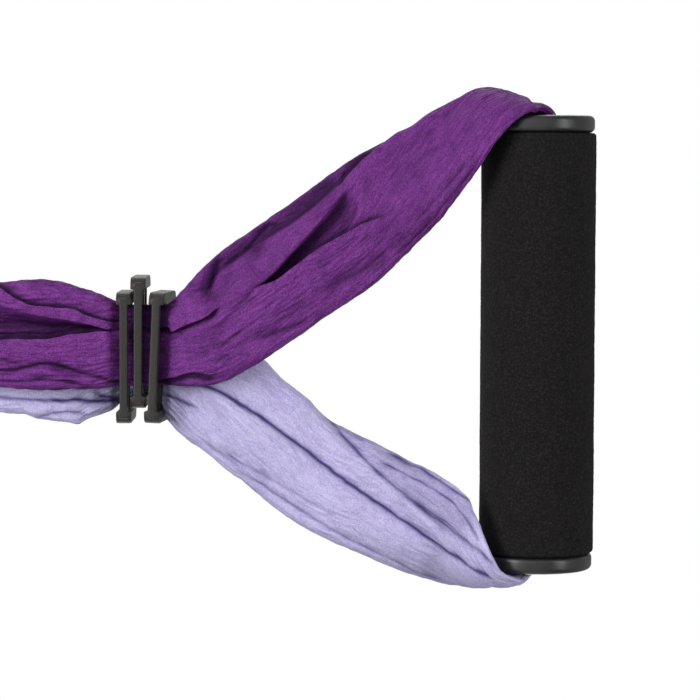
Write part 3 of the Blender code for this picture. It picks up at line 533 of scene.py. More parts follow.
# Pleats, waves and crinkles: lengths along and across and, where it has one, the height, all in
# millimetres
PLEAT_TURN = 9.0
WIDE_PLEATS = (30, 3.0)
NARROW_PLEATS = (18, 1.7)
NARROW_PLEAT_SHARE = 0.5
PLEAT_HEIGHTS = (0.15, 0.33)
WAVES = (22, 9.0, 0.30)
WAVE_CALM = 0.6
SLANTS = ((0.6, 11.0, -0.2, 4.2), (-0.5, 9.0, 0.15, 3.4))
SLANT_HEIGHT = 0.075
PATCHES = (21, 11, 1.4)
STREAKS = (17, 1.6, 0.15)
CRINKLES = (6.0, 1.8, 0.065)
TIGHT_PLEATS = (20, 1.1, 0.11)
FINE_CRINKLES = (2.2, 1.3, 0.035)

# The random lattice of the noise
LATTICE_STEPS = (374761393, 668265263, 1442695)
LATTICE_MIX = 1274126177
LATTICE_MASK = 0x7FFFFFFF
LATTICE_TURNS = 4096
NOISE_GAIN = 1.5
CREST_DROP = 2.4


def hermite(start, end, start_slope, end_slope, t):
    """Places on a smooth curve from start to end, with their slopes."""
    return (
        start * (1 + 2 * t) * (1 - t) ** 2 + end * t * t * (3 - 2 * t)
        + start_slope * t * (1 - t) ** 2 - end_slope * t * t * (1 - t)
    )


def smooth_step(t):
    """0 below 0, 1 above 1 and smooth between."""
    t = np.clip(t, 0.0, 1.0)
    return t * t * (3 - 2 * t)


def quick_step(t):
    """0 below 0, 1 above 1, with a sharp start and a smooth end."""
    t = np.clip(t, 0.0, 1.0)
    return t * (2 - t)


def ramp(value, start, span):
    """0 below start, 1 a span above it and smooth between."""
    return smooth_step((value - start) / span)


def window(value, low, high, blend):
    """1 from low to high and 0 outside, with a blend inside each end."""
    return ramp(value, low, blend) * ramp(-value, -high, blend)


def unit(vectors):
    """Vectors with a length of one."""
    return vectors / np.maximum(np.linalg.norm(vectors, axis=-1, keepdims=True), 1e-12)


def across_run(grid):
    """How far each point of a grid is from the start of its row, along the row."""
    steps = np.linalg.norm(np.diff(grid, axis=1), axis=2)
    return np.concatenate([np.zeros((len(grid), 1)), np.cumsum(steps, axis=1)], axis=1)


def read_rows(rows, ways):
    """Smooth curves through the rows: upper edge, middle, lower edge and half thickness."""
    known = np.array([row.way for row in rows])
    values = np.array([[*row.upper, *row.middle, *row.lower, row.half_thickness] for row in rows])
    count = np.arange(len(rows))
    low, high = np.maximum(count - 1, 0), np.minimum(count + 1, count[-1])
    slopes = (values[high] - values[low]) / (known[high] - known[low])[:, None]
    i = np.clip(np.searchsorted(known, ways, side="right") - 1, 0, count[-1] - 1)
    span = (known[i + 1] - known[i])[:, None]
    t = (ways[:, None] - known[i][:, None]) / span
    read = hermite(values[i], values[i + 1], slopes[i] * span, slopes[i + 1] * span, t)
    return read[:, 0:3], read[:, 3:6], read[:, 6:9], read[:, 9]


def front_row(way, upper, lower, depth, half, lean=0.0):
    """A row across the front, whose lower edge may lean out to the front."""
    a = np.array((upper[0], depth, upper[1])) * MM
    b = np.array((lower[0], depth - lean, lower[1])) * MM
    return Row(way, a, (a + b) / 2, b, half * MM)


def rim_row(way, upper, middle, lower, half):
    """A row given by three places."""
    return Row(way, *(np.array(point) * MM for point in (upper, middle, lower)), half * MM)


def eye_row(way, degrees, out=0.0, half=EYE_HALF_THICKNESS / MM):
    """A row on the ring of the eye, at an angle from the rear and a distance out of its middle."""
    angle = math.radians(degrees)
    radius = EYE_MIDDLE_RADIUS + out * MM
    y, z = radius * math.cos(angle), GRIP_DROP + radius * math.sin(angle)
    a, b = (np.array((x * MM, y, z)) for x in EYE_EDGES)
    return Row(way, a, (a + b) / 2, b, half * MM)


def strip_rows(lap, front, rim, ring_steps=0):
    """All rows of a strip, from its lapped end to the seam in the tube."""
    made = [eye_row(*row) for row in lap]
    first, last = EYE_RING_DEGREES
    for k in range(1, ring_steps + 1):
        share = k / ring_steps
        way = EYE_RING_WAY + (EYE_END_WAY - EYE_RING_WAY) * share
        made.append(eye_row(way, first + (last - first) * share))
    return made + [front_row(*row) for row in front] + [rim_row(*row) for row in rim]


def even_ways(rows, start, end):
    """Ways from start to end whose rows are evenly apart along the strip's middle."""
    fine = np.linspace(start, end, FINE_WAYS)
    _, middle, _, _ = read_rows(rows, fine)
    steps = np.linalg.norm(np.diff(middle, axis=0), axis=1)
    run = np.concatenate([[0.0], np.cumsum(steps)])
    wanted = np.linspace(0.0, run[-1], max(int(run[-1] / ROW_PITCH), 2) + 1)
    return np.interp(wanted, run, fine), wanted


def lattice_angles(ix, iy, seed):
    """A fixed random direction for each corner of a lattice."""
    step_x, step_y, step_seed = LATTICE_STEPS
    mixed = (ix * step_x + iy * step_y + seed * step_seed) & LATTICE_MASK
    mixed = ((mixed ^ (mixed >> 13)) * LATTICE_MIX) & LATTICE_MASK
    return ((mixed ^ (mixed >> 16)) % LATTICE_TURNS) * (2 * math.pi / LATTICE_TURNS)


def noise(x, y, seed):
    """Smooth gradient noise over a plane, from about -1 to 1."""
    ix, iy = np.floor(x).astype(np.int64), np.floor(y).astype(np.int64)
    fx, fy = x - ix, y - iy
    ex = fx**3 * (fx * (6 * fx - 15) + 10)
    ey = fy**3 * (fy * (6 * fy - 15) + 10)
    total = 0.0
    for dx in (0, 1):
        for dy in (0, 1):
            angle = lattice_angles(ix + dx, iy + dy, seed)
            slope = np.cos(angle) * (fx - dx) + np.sin(angle) * (fy - dy)
            total = total + slope * (ex if dx else 1 - ex) * (ey if dy else 1 - ey)
    return total * NOISE_GAIN


def creased(x, y, seed):
    """Noise with sharp crests, as in crumpled cloth, from about -1 to 1."""
    return 1 - CREST_DROP * np.abs(noise(x, y, seed))


def smooth_line(points):
    """A smooth curve through the points of a fold's line, as closer points."""
    known = np.array(points, dtype=float)
    slopes = np.gradient(known, axis=0)
    made = []
    for k in range(len(known) - 1):
        count = max(int(math.dist(points[k], points[k + 1]) / LINE_PITCH), 1)
        made += [hermite(known[k], known[k + 1], slopes[k], slopes[k + 1], t)
                 for t in np.arange(count) / count]
    return made + [known[-1]]


def line_distance(px, pz, line, fades=(LINE_FADE, LINE_FADE)):
    """Signed distance to a fold's line, positive on its upper side, and the fade at its ends."""
    points = smooth_line(line)
    best = np.full(px.shape, 1e9)
    side, run, done = np.zeros(px.shape), np.zeros(px.shape), 0.0
    for p, q in zip(points, points[1:]):
        leg = math.dist(p, q)
        dx, dz = (q[0] - p[0]) / leg, (q[1] - p[1]) / leg
        along = np.clip((px - p[0]) * dx + (pz - p[1]) * dz, 0.0, leg)
        away = np.hypot(px - p[0] - along * dx, pz - p[1] - along * dz)
        nearer = away < best
        best = np.where(nearer, away, best)
        side = np.where(nearer, np.sign(dx * (pz - p[1]) - dz * (px - p[0])), side)
        run = np.where(nearer, done + along, run)
        done += leg
    upward = 1.0 if line[0][1] > line[-1][1] else -1.0
    first, last = (min(fade, done / LINE_PER_FADE) for fade in fades)
    return best * side * upward, smooth_step(run / first) * smooth_step((done - run) / last)


def noise_at(px, pz, scales):
    """Noise over the front, with its two lengths and its seed."""
    return noise(px / scales[0], pz / scales[1], scales[2])


def hollow_moves(px, pz, fold):
    """How a hollow moves the cloth, sideways and out, and its painted shade line, which is none."""
    away, fade = line_distance(px, pz, fold.points)
    width = np.where(away > 0, fold.upper_width, fold.lower_width)
    return 0.0, -fold.depth * fade * np.exp(-((away / width) ** 2)), 0.0


def crease_moves(px, pz, fold):
    """How a crease moves the cloth, sideways and out, and how much shade is painted along it."""
    away, fade = line_distance(px, pz, fold.points)
    away = away + LINE_WOBBLE * noise_at(px, pz, CREASE_WOBBLE)
    least, more = CREASE_STRENGTH
    fade = fade * (least + more * noise_at(px, pz, CREASE_UNEVENNESS))
    width = np.where(away > 0, fold.upper_width, fold.lower_width)
    rounded = np.sqrt(away * away + LINE_ROUNDING**2) - LINE_ROUNDING
    dark = min(fold.depth / DARKEST_CREASE, 1.0) * fade * np.exp(-rounded / LINE_SHADE)
    return 0.0, -fold.depth * fade * np.exp(-rounded / width), dark


def pocket_moves(px, pz, pocket):
    """How a pocket moves the cloth, sideways and out, and how much shade is painted in it."""
    from_upper, fade = line_distance(px, pz, pocket.upper, pocket.fades)
    from_lower, _ = line_distance(px, pz, pocket.lower)
    below, above = np.maximum(-from_upper, 0.0), np.maximum(from_lower, 0.0)
    share = below / (below + above + POCKET_SLACK)
    depth = pocket.depth * (1 - (1 - pocket.floor) * share)
    rise = fade * quick_step(above / pocket.edge)
    dark = pocket.shade * rise * quick_step(share / POCKET_RIM)
    dark = dark * np.exp(-((below / pocket.reach) ** 2))
    return 0.0, -depth * rise * quick_step(share / pocket.wall), dark


def lip_moves(px, pz, lip):
    """How a lip moves the cloth, sideways towards the upper edge and out, and the painted shade
    under it.
    """
    away, fade = line_distance(px, pz, lip.points, lip.fades)
    away = away + LINE_WOBBLE * noise_at(px, pz, LIP_WOBBLE)
    x = np.clip(away / lip.width, -1.0, 1.0)
    sideways = -LIP_TUCK_GAIN * lip.tuck * fade * (x - x**3)
    step = smooth_step((x + LIP_TURN) / (2 * LIP_TURN))
    past_upper = np.maximum(away / lip.width - LIP_TURN, 0.0) * lip.width
    past_lower = np.maximum(-away / lip.width - LIP_TURN, 0.0) * lip.width
    upper = np.exp(-((past_upper / lip.upper_spread) ** 2))
    lower = np.exp(-((past_lower / lip.lower_spread) ** 2))
    high, low = (lip.rise, -lip.drop) if lip.top > 0 else (-lip.drop, lip.rise)
    hidden = -away * lip.top
    clear = np.maximum(hidden - LIP_HIDDEN * lip.width, 0.0)
    dark = smooth_step((hidden / lip.width + LIP_SHADE_FROM) / LIP_SHADE_OVER)
    dark = dark * np.exp(-clear / LIP_SHADE) * fade
    return sideways, (low * lower * (1 - step) + high * upper * step) * fade, dark


MOVES = {Crease: crease_moves, Hollow: hollow_moves, Pocket: pocket_moves, Lip: lip_moves}


def all_moves(px, pz, folds):
    """How all folds move the cloth, sideways towards the upper edge and out, and the painted shade.
    """
    sideways, out, dark = np.zeros(px.shape), np.zeros(px.shape), np.zeros(px.shape)
    for fold in folds:
        aside, lift, shade = MOVES[type(fold)](px, pz, fold)
        sideways += aside
        out += lift
        dark = np.maximum(dark, shade)
    return sideways, out, dark


def off_the_grip(points, gap):
    """Moves points that would lie in the grip out to its surface."""
    outer = max(FLANGE_RADIUS, FOAM_RADIUS)
    radius = np.hypot(points[..., 1], points[..., 2])
    middle = (BORE_RADIUS + outer) / 2
    inside = radius < middle
    edge = np.where(inside, BORE_LIP_RADIUS, FLANGE_EDGE_RADIUS)
    off_r = np.abs(radius - middle) - ((outer - BORE_RADIUS) / 2 - edge)
    off_x = np.abs(points[..., 0]) - (FLANGE_FACE - edge)
    both = (off_r > 0) & (off_x > 0)
    away = np.where(both, np.hypot(off_r, off_x), np.maximum(off_r, off_x))
    safe = np.maximum(away, 1e-9)
    step_r = np.where(both, off_r / safe, off_r > off_x)
    step_x = np.where(both, off_x / safe, off_r <= off_x)
    short = np.maximum(edge + gap - away, 0.0)
    new_radius = radius + step_r * short * np.where(inside, -1.0, 1.0)
    moved = points.copy()
    moved[..., 0] += step_x * short * np.sign(points[..., 0])
    moved[..., 1:] *= (new_radius / np.maximum(radius, 1e-9))[..., None]
    return moved


def gather_share(ways):
    """How tightly the cloth is gathered: 1 in the slides, the throat and the mouth."""
    narrow = np.exp(-((ways - SLIDES_WAY) / SLIDES_SPREAD) ** 2)
    return np.clip(narrow + ramp(ways, *MOUTH_FROM) + ramp(-ways, *THROAT_FROM), 0.0, 1.0)


def crumple(length, flat, turn, gathered, seed, crinkle):
    """Pleats, waves and crinkles of gathered cloth, out from the surface, in millimetres."""
    def layer(form, across, lengths, number):
        return form(length / lengths[0], across / lengths[1], seed + number)

    out = layer(noise, turn, WIDE_PLEATS, 0)
    out = out + NARROW_PLEAT_SHARE * layer(noise, turn, NARROW_PLEATS, 1)
    out = out * (PLEAT_HEIGHTS[0] + PLEAT_HEIGHTS[1] * gathered)
    out = out + WAVES[2] * layer(noise, flat, WAVES, 2) * (1 - WAVE_CALM * gathered)
    slants = sum(
        creased((length + lean * flat) / along, (flat + slip * length) / across, seed + 3 + k)
        for k, (lean, along, slip, across) in enumerate(SLANTS))
    out += SLANT_HEIGHT * crinkle * slants
    patches = smooth_step(0.5 + PATCHES[2] * layer(noise, flat, PATCHES, 7))
    out += STREAKS[2] * crinkle * patches * layer(creased, flat, STREAKS, 8)
    out += CRINKLES[2] * crinkle * layer(creased, flat, CRINKLES, 5)
    out += TIGHT_PLEATS[2] * gathered * layer(creased, turn, TIGHT_PLEATS, 9)
    return out + FINE_CRINKLES[2] * crinkle * layer(creased, flat, FINE_CRINKLES, 6)


def cloth_sheet(name, rows, start, end, folds, back_folds, seed, crinkle, shades, finish):
    """One open sheet of gathered cloth, from way to way, with its folds and crinkles, and the shade
    painted into its folds, hollows and between the slides' bars.
    """
    pinch_shade, hollow_shade = shades
    ways, run = even_ways(rows, start, end)
    upper, middle, lower, half = read_rows(rows, ways)
    steps = np.linspace(-1.0, 1.0, FRONT_COLUMNS + 1)
    crowded = (1 - EDGE_CROWDING) * steps + EDGE_CROWDING * np.sin(steps * math.pi / 2)
    back = np.linspace(0.0, -math.pi, BACK_COLUMNS + 1)[1:]
    angles = np.concatenate([np.arccos(np.clip(crowded, -1.0, 1.0)), back])
    places = np.cos(angles)
    bow = (upper + lower) / 2 - middle
    centre = (
        middle[:, None] + ((upper - lower) / 2)[:, None] * places[None, :, None]
        + bow[:, None] * (places**2)[None, :, None]
    )
    spread = centre[:, FRONT_COLUMNS] - centre[:, 0]
    outward = unit(np.cross(np.gradient(centre, axis=0), spread[:, None]))
    power = EDGE_POWER + (TUBE_EDGE_POWER - EDGE_POWER) * ramp(ways, *TUBE_EDGE_FROM)
    swell = np.sqrt(np.maximum(0.0, 1 - np.abs(places) ** power[:, None]))
    swell = swell * np.sign(np.sin(angles) + 1e-12)
    swell[:, FRONT_COLUMNS] = 0.0
    grid = centre + outward * (half[:, None] * swell)[..., None]

    along, across = np.gradient(grid, axis=(0, 1))
    normals, across = unit(np.cross(along, across)), unit(across)
    on_front = (np.arange(len(angles)) <= FRONT_COLUMNS)[None, :]
    edge_fade = smooth_step((1 - np.abs(places)) / EDGE_FADE)[None, :]
    off_front = edge_fade * ~on_front * (ways > EYE_END_WAY)[:, None]
    px, height = grid[..., 0] / MM, grid[..., 2] / MM
    sideways, press, dark = all_moves(px, height, folds)
    back_sideways, back_press, back_dark = all_moves(px, height, back_folds)
    calm = (1 - MOUTH_CALM * ramp(ways, *CALM_FROM))[:, None]
    press, back_press = press * calm, back_press * calm * off_front
    pinch = np.where(on_front, -SLIDE_PINCH * window(height, *PINCH_HEIGHTS), 0.0)
    # Painted shade on the cloth between the slides' bars, kept with the folds' painted shade on the
    # front
    shaded = SLIDE_SHADE * pinch_shade * window(height, *SHADED_HEIGHTS)
    dark = np.maximum(dark, shaded) * on_front + back_dark * off_front
    sideways = sideways * edge_fade * on_front - back_sideways * off_front
    press = np.maximum(press, -DEEPEST_PRESS * half[:, None] / MM)
    near_upper = ramp(places, *BACK_BLEND_FROM)[None, :] * press[:, FRONT_COLUMNS, None]
    near_lower = ramp(-places, *BACK_BLEND_FROM)[None, :] * press[:, :1]
    press = np.where(on_front, press, near_upper + near_lower)

    turn = (angles[0] - angles)[None, :] * PLEAT_TURN
    gathered = gather_share(ways)[:, None]
    waves = crumple((run / MM)[:, None], across_run(grid) / MM, turn, gathered, seed, crinkle)
    moved = grid + normals * waves[..., None] * MM
    moved = moved + outward * (press + pinch - back_press)[..., None] * MM
    moved = moved + across * sideways[..., None] * MM
    # Painted shade: hollows and creases found from the relief, the folds' dark lines and the cloth
    # between the slides' bars are darkened in colour through the Crease attribute
    relief = press + back_press + waves + pinch * pinch_shade
    painted_shade = (softened(relief, NEAR_REACHES) - relief) / CREASE_FULL
    painted_shade += (softened(relief, FAR_REACHES) - relief) / HOLLOW_FULL
    painted_shade = 1 - np.exp(-np.maximum(painted_shade, 0.0) / DARKEST_HOLLOW)
    painted_shade = np.clip(hollow_shade * DARKEST_HOLLOW * painted_shade + dark, 0.0, 1.0)
    painted_shade = np.concatenate([painted_shade, np.ones((len(ways), TUCK_COLUMNS))], axis=1)
    moved = tucked(moved, grid)
    near_grip = ways[:, None, None] > OFF_GRIP_WAY
    moved = np.where(near_grip, off_the_grip(moved, REST_GAP), moved)
    moved[..., 2] -= GRIP_DROP
    return grid_object(name, moved, run, painted_shade, finish)


def softened(relief, reaches):
    """The relief smoothed by running means along and across, over numbers of rows and columns."""
    for axis, reach in reaches:
        total = np.zeros(relief.shape)
        for shift in range(-reach, reach + 1):
            index = np.clip(np.arange(relief.shape[axis]) + shift, 0, relief.shape[axis] - 1)
            total += np.take(relief, index, axis=axis)
        relief = total / (2 * reach + 1)
    return relief


def tucked(moved, grid):
    """Adds the last columns, which tuck the back's edge in under the front's hem."""
    last = moved[:, -1]
    inward = unit(grid[:, FRONT_COLUMNS] - grid[:, 0])
    depth = last - moved[:, -3]
    columns = [last + inward * TUCK_REACH * share + depth * TUCK_RISE * (1 - share)
               for share in np.arange(1, TUCK_COLUMNS + 1) / TUCK_COLUMNS]
    return np.concatenate([moved, np.stack(columns, axis=1)], axis=1)


def quad_mesh(name, points, corners):
    """A mesh of quads, from a grid of points and the numbers of each quad's four corners."""
    mesh = bpy.data.meshes.new(name)
    quads = np.stack(corners, axis=2).reshape(-1, 4)
    mesh.from_pydata(points.reshape(-1, 3).tolist(), [], quads.tolist())
    return mesh


def turned_outward(mesh, builder):
    """Writes the builder's faces to the mesh, turned outward."""
    bmesh.ops.recalc_face_normals(builder, faces=builder.faces)
    builder.to_mesh(mesh)
    builder.free()


def placed(name, data, finish=None):
    """An object in the scene, with its finish where it has one."""
    if finish:
        data.materials.append(finish)
    made = bpy.data.objects.new(name, data)
    bpy.context.scene.collection.objects.link(made)
    return made


def grid_object(name, grid, run, painted_shade, finish):
    """A mesh object from a grid of points, with a flat map in metres and the painted shade of its
    folds, hollows and the cloth between the slides' bars as its Crease attribute.
    """
    rows, columns = grid.shape[:2]
    index = np.arange(rows * columns).reshape(rows, columns)
    mesh = quad_mesh(name, grid, (index[:-1, :-1], index[:-1, 1:], index[1:, 1:], index[1:, :-1]))
    layer = mesh.uv_layers.new(name="Flat")
    corners = np.empty(len(mesh.loops), dtype=np.int64)
    mesh.loops.foreach_get("vertex_index", corners)
    places = np.stack([across_run(grid).reshape(-1), np.repeat(run, columns)], axis=1)
    layer.data.foreach_set("uv", places[corners].reshape(-1).astype(np.float32))
    # The Crease attribute holds the painted shade, from 0 to 1
    depth = mesh.attributes.new("Crease", "FLOAT", "POINT")
    depth.data.foreach_set("value", painted_shade.reshape(-1).astype(np.float32))
    mesh.shade_smooth()
    return placed(name, mesh, finish)


def outermost(points, x, degrees):
    """The outermost point of the eye's ring near a place, in millimetres."""
    angle = np.degrees(np.arctan2(points[:, 2], points[:, 1]))
    near = np.abs(points[:, 0] - x) < STITCH_NEAR
    near = near & (np.abs(angle - degrees) < STITCH_NEAR_DEGREES)
    return (np.hypot(points[:, 1], points[:, 2]) * near).max()


def eye_stitches(sheet, finish):
    """Rows of thread over the lapped ends of the eye, laid on the sheet as it is."""
    points = np.empty(len(sheet.data.vertices) * 3)
    sheet.data.vertices.foreach_get("co", points)
    points = points.reshape(-1, 3) / MM
    builder = bmesh.new()
    pitch = (STITCH_SPAN[1] - STITCH_SPAN[0]) / STITCH_COUNT
    for degrees in STITCH_DEGREES:
        cosine, sine = math.cos(math.radians(degrees)), math.sin(math.radians(degrees))
        for k in range(STITCH_COUNT):
            rings = []
            for t in np.linspace(0.0, 1.0, STITCH_RINGS):
                x = STITCH_SPAN[0] + pitch * k + pitch * STITCH_SHARE * t
                lift = STITCH_RADIUS * math.sin(math.pi * t) - STITCH_SINK
                radius = outermost(points, x, degrees) + lift
                ring = []
                for turn in np.linspace(0.0, 2 * math.pi, STITCH_SIDES, endpoint=False):
                    out = radius + STITCH_RADIUS * math.cos(turn)
                    aside = STITCH_RADIUS * math.sin(turn)
                    ring.append(builder.verts.new((
                        x * MM, (out * cosine - aside * sine) * MM,
                        (out * sine + aside * cosine) * MM)))
                rings.append(ring)
            for low, high in zip(rings, rings[1:]):
                join_rings(builder, low, high)
            builder.faces.new(rings[0])
            builder.faces.new(rings[-1])
    mesh = bpy.data.meshes.new("eye_stitches")
    turned_outward(mesh, builder)
    mesh.shade_smooth()
    return placed("eye_stitches", mesh, finish)


def join_rings(builder, low, high):
    """Adds the faces between two closed rings of corners."""
    for i in range(len(low)):
        j = (i + 1) % len(low)
        builder.faces.new((low[i], low[j], high[j], high[i]))


def add_node(tree, kind, inputs=None, **settings):
    """A node with its settings, and its inputs set to values or joined to sockets."""
    made = tree.nodes.new(kind)
    for name, value in settings.items():
        setattr(made, name, value)
    for name, value in (inputs or {}).items():
        socket = made.inputs[name]
        if isinstance(value, bpy.types.NodeSocket):
            tree.links.new(value, socket)
        else:
            socket.default_value = value
    return made


def maths(tree, operation, first, second=0.0, third=0.0):
    """A Math node's output."""
    made = add_node(tree, "ShaderNodeMath", {0: first, 1: second, 2: third}, operation=operation)
    return made.outputs[0]


def weighted(tree, values, weights, total=0.0):
    """A total with each value added, times its weight."""
    for value, weight in zip(values, weights):
        total = maths(tree, "MULTIPLY_ADD", value, weight, total)
    return total


def ranged(tree, value, low, high, to_low=0.0, to_high=1.0, **settings):
    """A value taken from one range to another."""
    made = add_node(tree, "ShaderNodeMapRange", {
        "Value": value, "From Min": low, "From Max": high, "To Min": to_low, "To Max": to_high},
        **settings)
    return made.outputs[0]


def mixed(tree, share, first, second, **settings):
    """A colour mixed from two."""
    made = add_node(tree, "ShaderNodeMix", {0: share, 6: first, 7: second}, data_type="RGBA",
                    **settings)
    return made.outputs[2]


def three_colours(tree, share, given):
    """A colour that goes from dark over middle to light."""
    first = mixed(tree, ranged(tree, share, 0.0, 0.5), given["Dark"], given["Middle"])
    return mixed(tree, ranged(tree, share, 0.5, 1.0), first, given["Light"])


def grain(tree, place, scale, detail, roughness):
    """A noise texture's value, from 0 to 1."""
    made = add_node(tree, "ShaderNodeTexNoise", {
        "Vector": place, "Scale": scale, "Detail": detail, "Roughness": roughness})
    return made.outputs["Fac"]


def new_group(name, colours, numbers):
    """A node group with its inputs, and outputs for colour, roughness and height."""
    group = bpy.data.node_groups.new(name, "ShaderNodeTree")
    sockets = [("Place", "INPUT", "Vector")]
    sockets += [(colour, "INPUT", "Color") for colour in colours]
    sockets += [(number, "INPUT", "Float") for number in numbers]
    sockets += [("Colour", "OUTPUT", "Color"), ("Roughness", "OUTPUT", "Float"),
                ("Height", "OUTPUT", "Float")]
    for socket, side, kind in sockets:
        group.interface.new_socket(socket, in_out=side, socket_type=f"NodeSocket{kind}")
    return group, group.nodes.new("NodeGroupInput").outputs


def crinkled_cloth_group():
    """Crushed nylon: streaks, fine crinkles and the weave, on a flat map in metres, with painted
    shade from the Crease input and along the crinkle lines.
    """
    group, given = new_group(
        "crinkled_cloth", ("Dark", "Middle", "Light", "Crease Tint"), ("Crease", "Contrast"))
    place = given["Place"]
    streaky = add_node(group, "ShaderNodeMapping", {
        "Vector": place, "Scale": STREAK_STRETCH}).outputs[0]
    broad = grain(group, place, *BROAD_GRAIN)
    streaks = grain(group, streaky, *STREAK_GRAIN)
    fine = grain(group, place, *FINE_GRAIN)
    specks = grain(group, place, *SPECK_GRAIN)
    lines = 0.0
    for scale, width, weight in CRINKLE_LINES:
        apart = maths(group, "SUBTRACT", grain(group, streaky, scale, *CRINKLE_GRAIN), 0.5)
        line = ranged(group, maths(group, "ABSOLUTE", apart), 0.0, width, 1.0, 0.0,
                      interpolation_type="SMOOTHSTEP")
        lines = maths(group, "MULTIPLY_ADD", line, weight, lines)
    # Painted shade: the colour is darker along the crinkle lines, which are grooves in the relief
    share = maths(group, "MULTIPLY_ADD", lines, *CRINKLE_GROOVE_SHADE)
    for value, weight in zip((broad, streaks, fine, specks), COLOUR_WEIGHTS):
        apart = maths(group, "MULTIPLY", maths(group, "SUBTRACT", value, 0.5), weight)
        share = maths(group, "MULTIPLY_ADD", apart, given["Contrast"], share)
    # Painted shade: the colour is multiplied towards the shade tint where the Crease input says
    colour = mixed(group, given["Crease"], three_colours(group, share, given),
                   given["Crease Tint"], blend_type="MULTIPLY")
    ways = add_node(group, "ShaderNodeSeparateXYZ", {0: place}).outputs
    threads = [maths(group, "SINE", maths(group, "MULTIPLY", way, 2 * math.pi / THREAD_PITCH))
               for way in (ways[0], ways[1])]
    weave = maths(group, "MULTIPLY", *threads)
    add_node(group, "NodeGroupOutput", {
        "Colour": colour, "Roughness": maths(group, "MULTIPLY_ADD", fine, *CLOTH_ROUGHNESS),
        "Height": weighted(group, (fine, streaks, specks, lines, weave), RELIEF_WEIGHTS)})
    return group


def speckle_group():
    """Fine speckles in colour, roughness and height, on the object's own places in metres."""
    group, given = new_group(
        "fine_speckle", ("Dark", "Middle", "Light"),
        ("Scale", "Contrast", "Roughness Low", "Roughness High"))
    place, scale = given["Place"], given["Scale"]
    coarse = grain(group, place, scale, *COARSE_SPECKLE)
    finer = grain(group, place, maths(group, "MULTIPLY", scale, FINER_SCALE), *FINER_SPECKLE)
    cells = add_node(group, "ShaderNodeTexVoronoi", {
        "Vector": place, "Scale": maths(group, "MULTIPLY", scale, CELL_SCALE)})
    both = maths(group, "ADD", *(maths(group, "MULTIPLY_ADD", value, *SPECKLE_SPREAD)
                                 for value in (coarse, finer)))
    share = maths(group, "MULTIPLY_ADD", both, given["Contrast"], 0.5)
    add_node(group, "NodeGroupOutput", {
        "Colour": three_colours(group, share, given),
        "Roughness": ranged(group, coarse, *SPECKLE_ROUGHNESS_FROM,
                            given["Roughness Low"], given["Roughness High"]),
        "Height": maths(group, "MULTIPLY_ADD", cells.outputs["Distance"], CELL_RELIEF, finer)})
    return group


def finish_material(name, group, place_output, sockets, row):
    """A material whose colour, roughness and bump come from a shared group."""
    made = bpy.data.materials.new(name)
    made.use_nodes = True
    tree = made.node_tree
    shader = tree.nodes["Principled BSDF"]
    values = {socket: (*value, 1.0) if isinstance(value, tuple) else value
              for socket, value in zip(sockets, row)}
    strength, depth, specular = row[len(sockets):]
    shader.inputs["Specular IOR Level"].default_value = specular
    place = add_node(tree, "ShaderNodeTexCoord").outputs[place_output]
    effect = add_node(tree, "ShaderNodeGroup", {"Place": place, **values}, node_tree=group)
    # The Crease attribute carries the shade painted into the cloth's folds and between the slides'
    # bars
    if "Crease" in effect.inputs:
        crease = add_node(tree, "ShaderNodeAttribute", attribute_name="Crease")
        tree.links.new(crease.outputs["Fac"], effect.inputs["Crease"])
    relief = add_node(tree, "ShaderNodeBump", {
        "Height": effect.outputs["Height"], "Strength": strength, "Distance": depth})
    tree.links.new(effect.outputs["Colour"], shader.inputs["Base Color"])
    tree.links.new(effect.outputs["Roughness"], shader.inputs["Roughness"])
    tree.links.new(relief.outputs["Normal"], shader.inputs["Normal"])
    made.diffuse_color = values["Middle"]
    return made


def turned_piece(name, profile, steps, finish, grow=None):
    """Spins a closed profile of (x, radius) round the grip's axis, with an outward wobble."""
    angles = np.linspace(0.0, 2 * math.pi, steps, endpoint=False)
    x, radius = (column[:, None] for column in np.array(profile).T)
    if grow:
        radius = radius + grow(x, radius, angles)
    y, z = radius * np.cos(angles), radius * np.sin(angles) - GRIP_DROP
    points = np.stack(np.broadcast_arrays(x, y, z), axis=2)
    index = np.arange(points[..., 0].size).reshape(points.shape[:2])
    ahead, above = np.roll(index, -1, axis=1), np.roll(index, -1, axis=0)
    mesh = quad_mesh(name, points, (index, ahead, np.roll(above, -1, axis=1), above))
    builder = bmesh.new()
    builder.from_mesh(mesh)
    turned_outward(mesh, builder)
    mesh.shade_smooth()
    mesh.set_sharp_from_angle(angle=SHARP_ANGLE)
    return placed(name, mesh, finish)


def arc(centre, radius, start, end, steps=ARC_STEPS):
    """Points of an arc, from one angle in degrees to another."""
    angles = np.radians(np.linspace(start, end, steps + 1))
    return [(centre[0] + radius * math.cos(a), centre[1] + radius * math.sin(a)) for a in angles]


def line_points(start, end, pitch):
    """Points from start up to, but not including, end."""
    count = max(int(math.dist(start, end) / pitch), 1)
    return [tuple(np.array(start) + (np.array(end) - np.array(start)) * k / count)
            for k in range(count)]


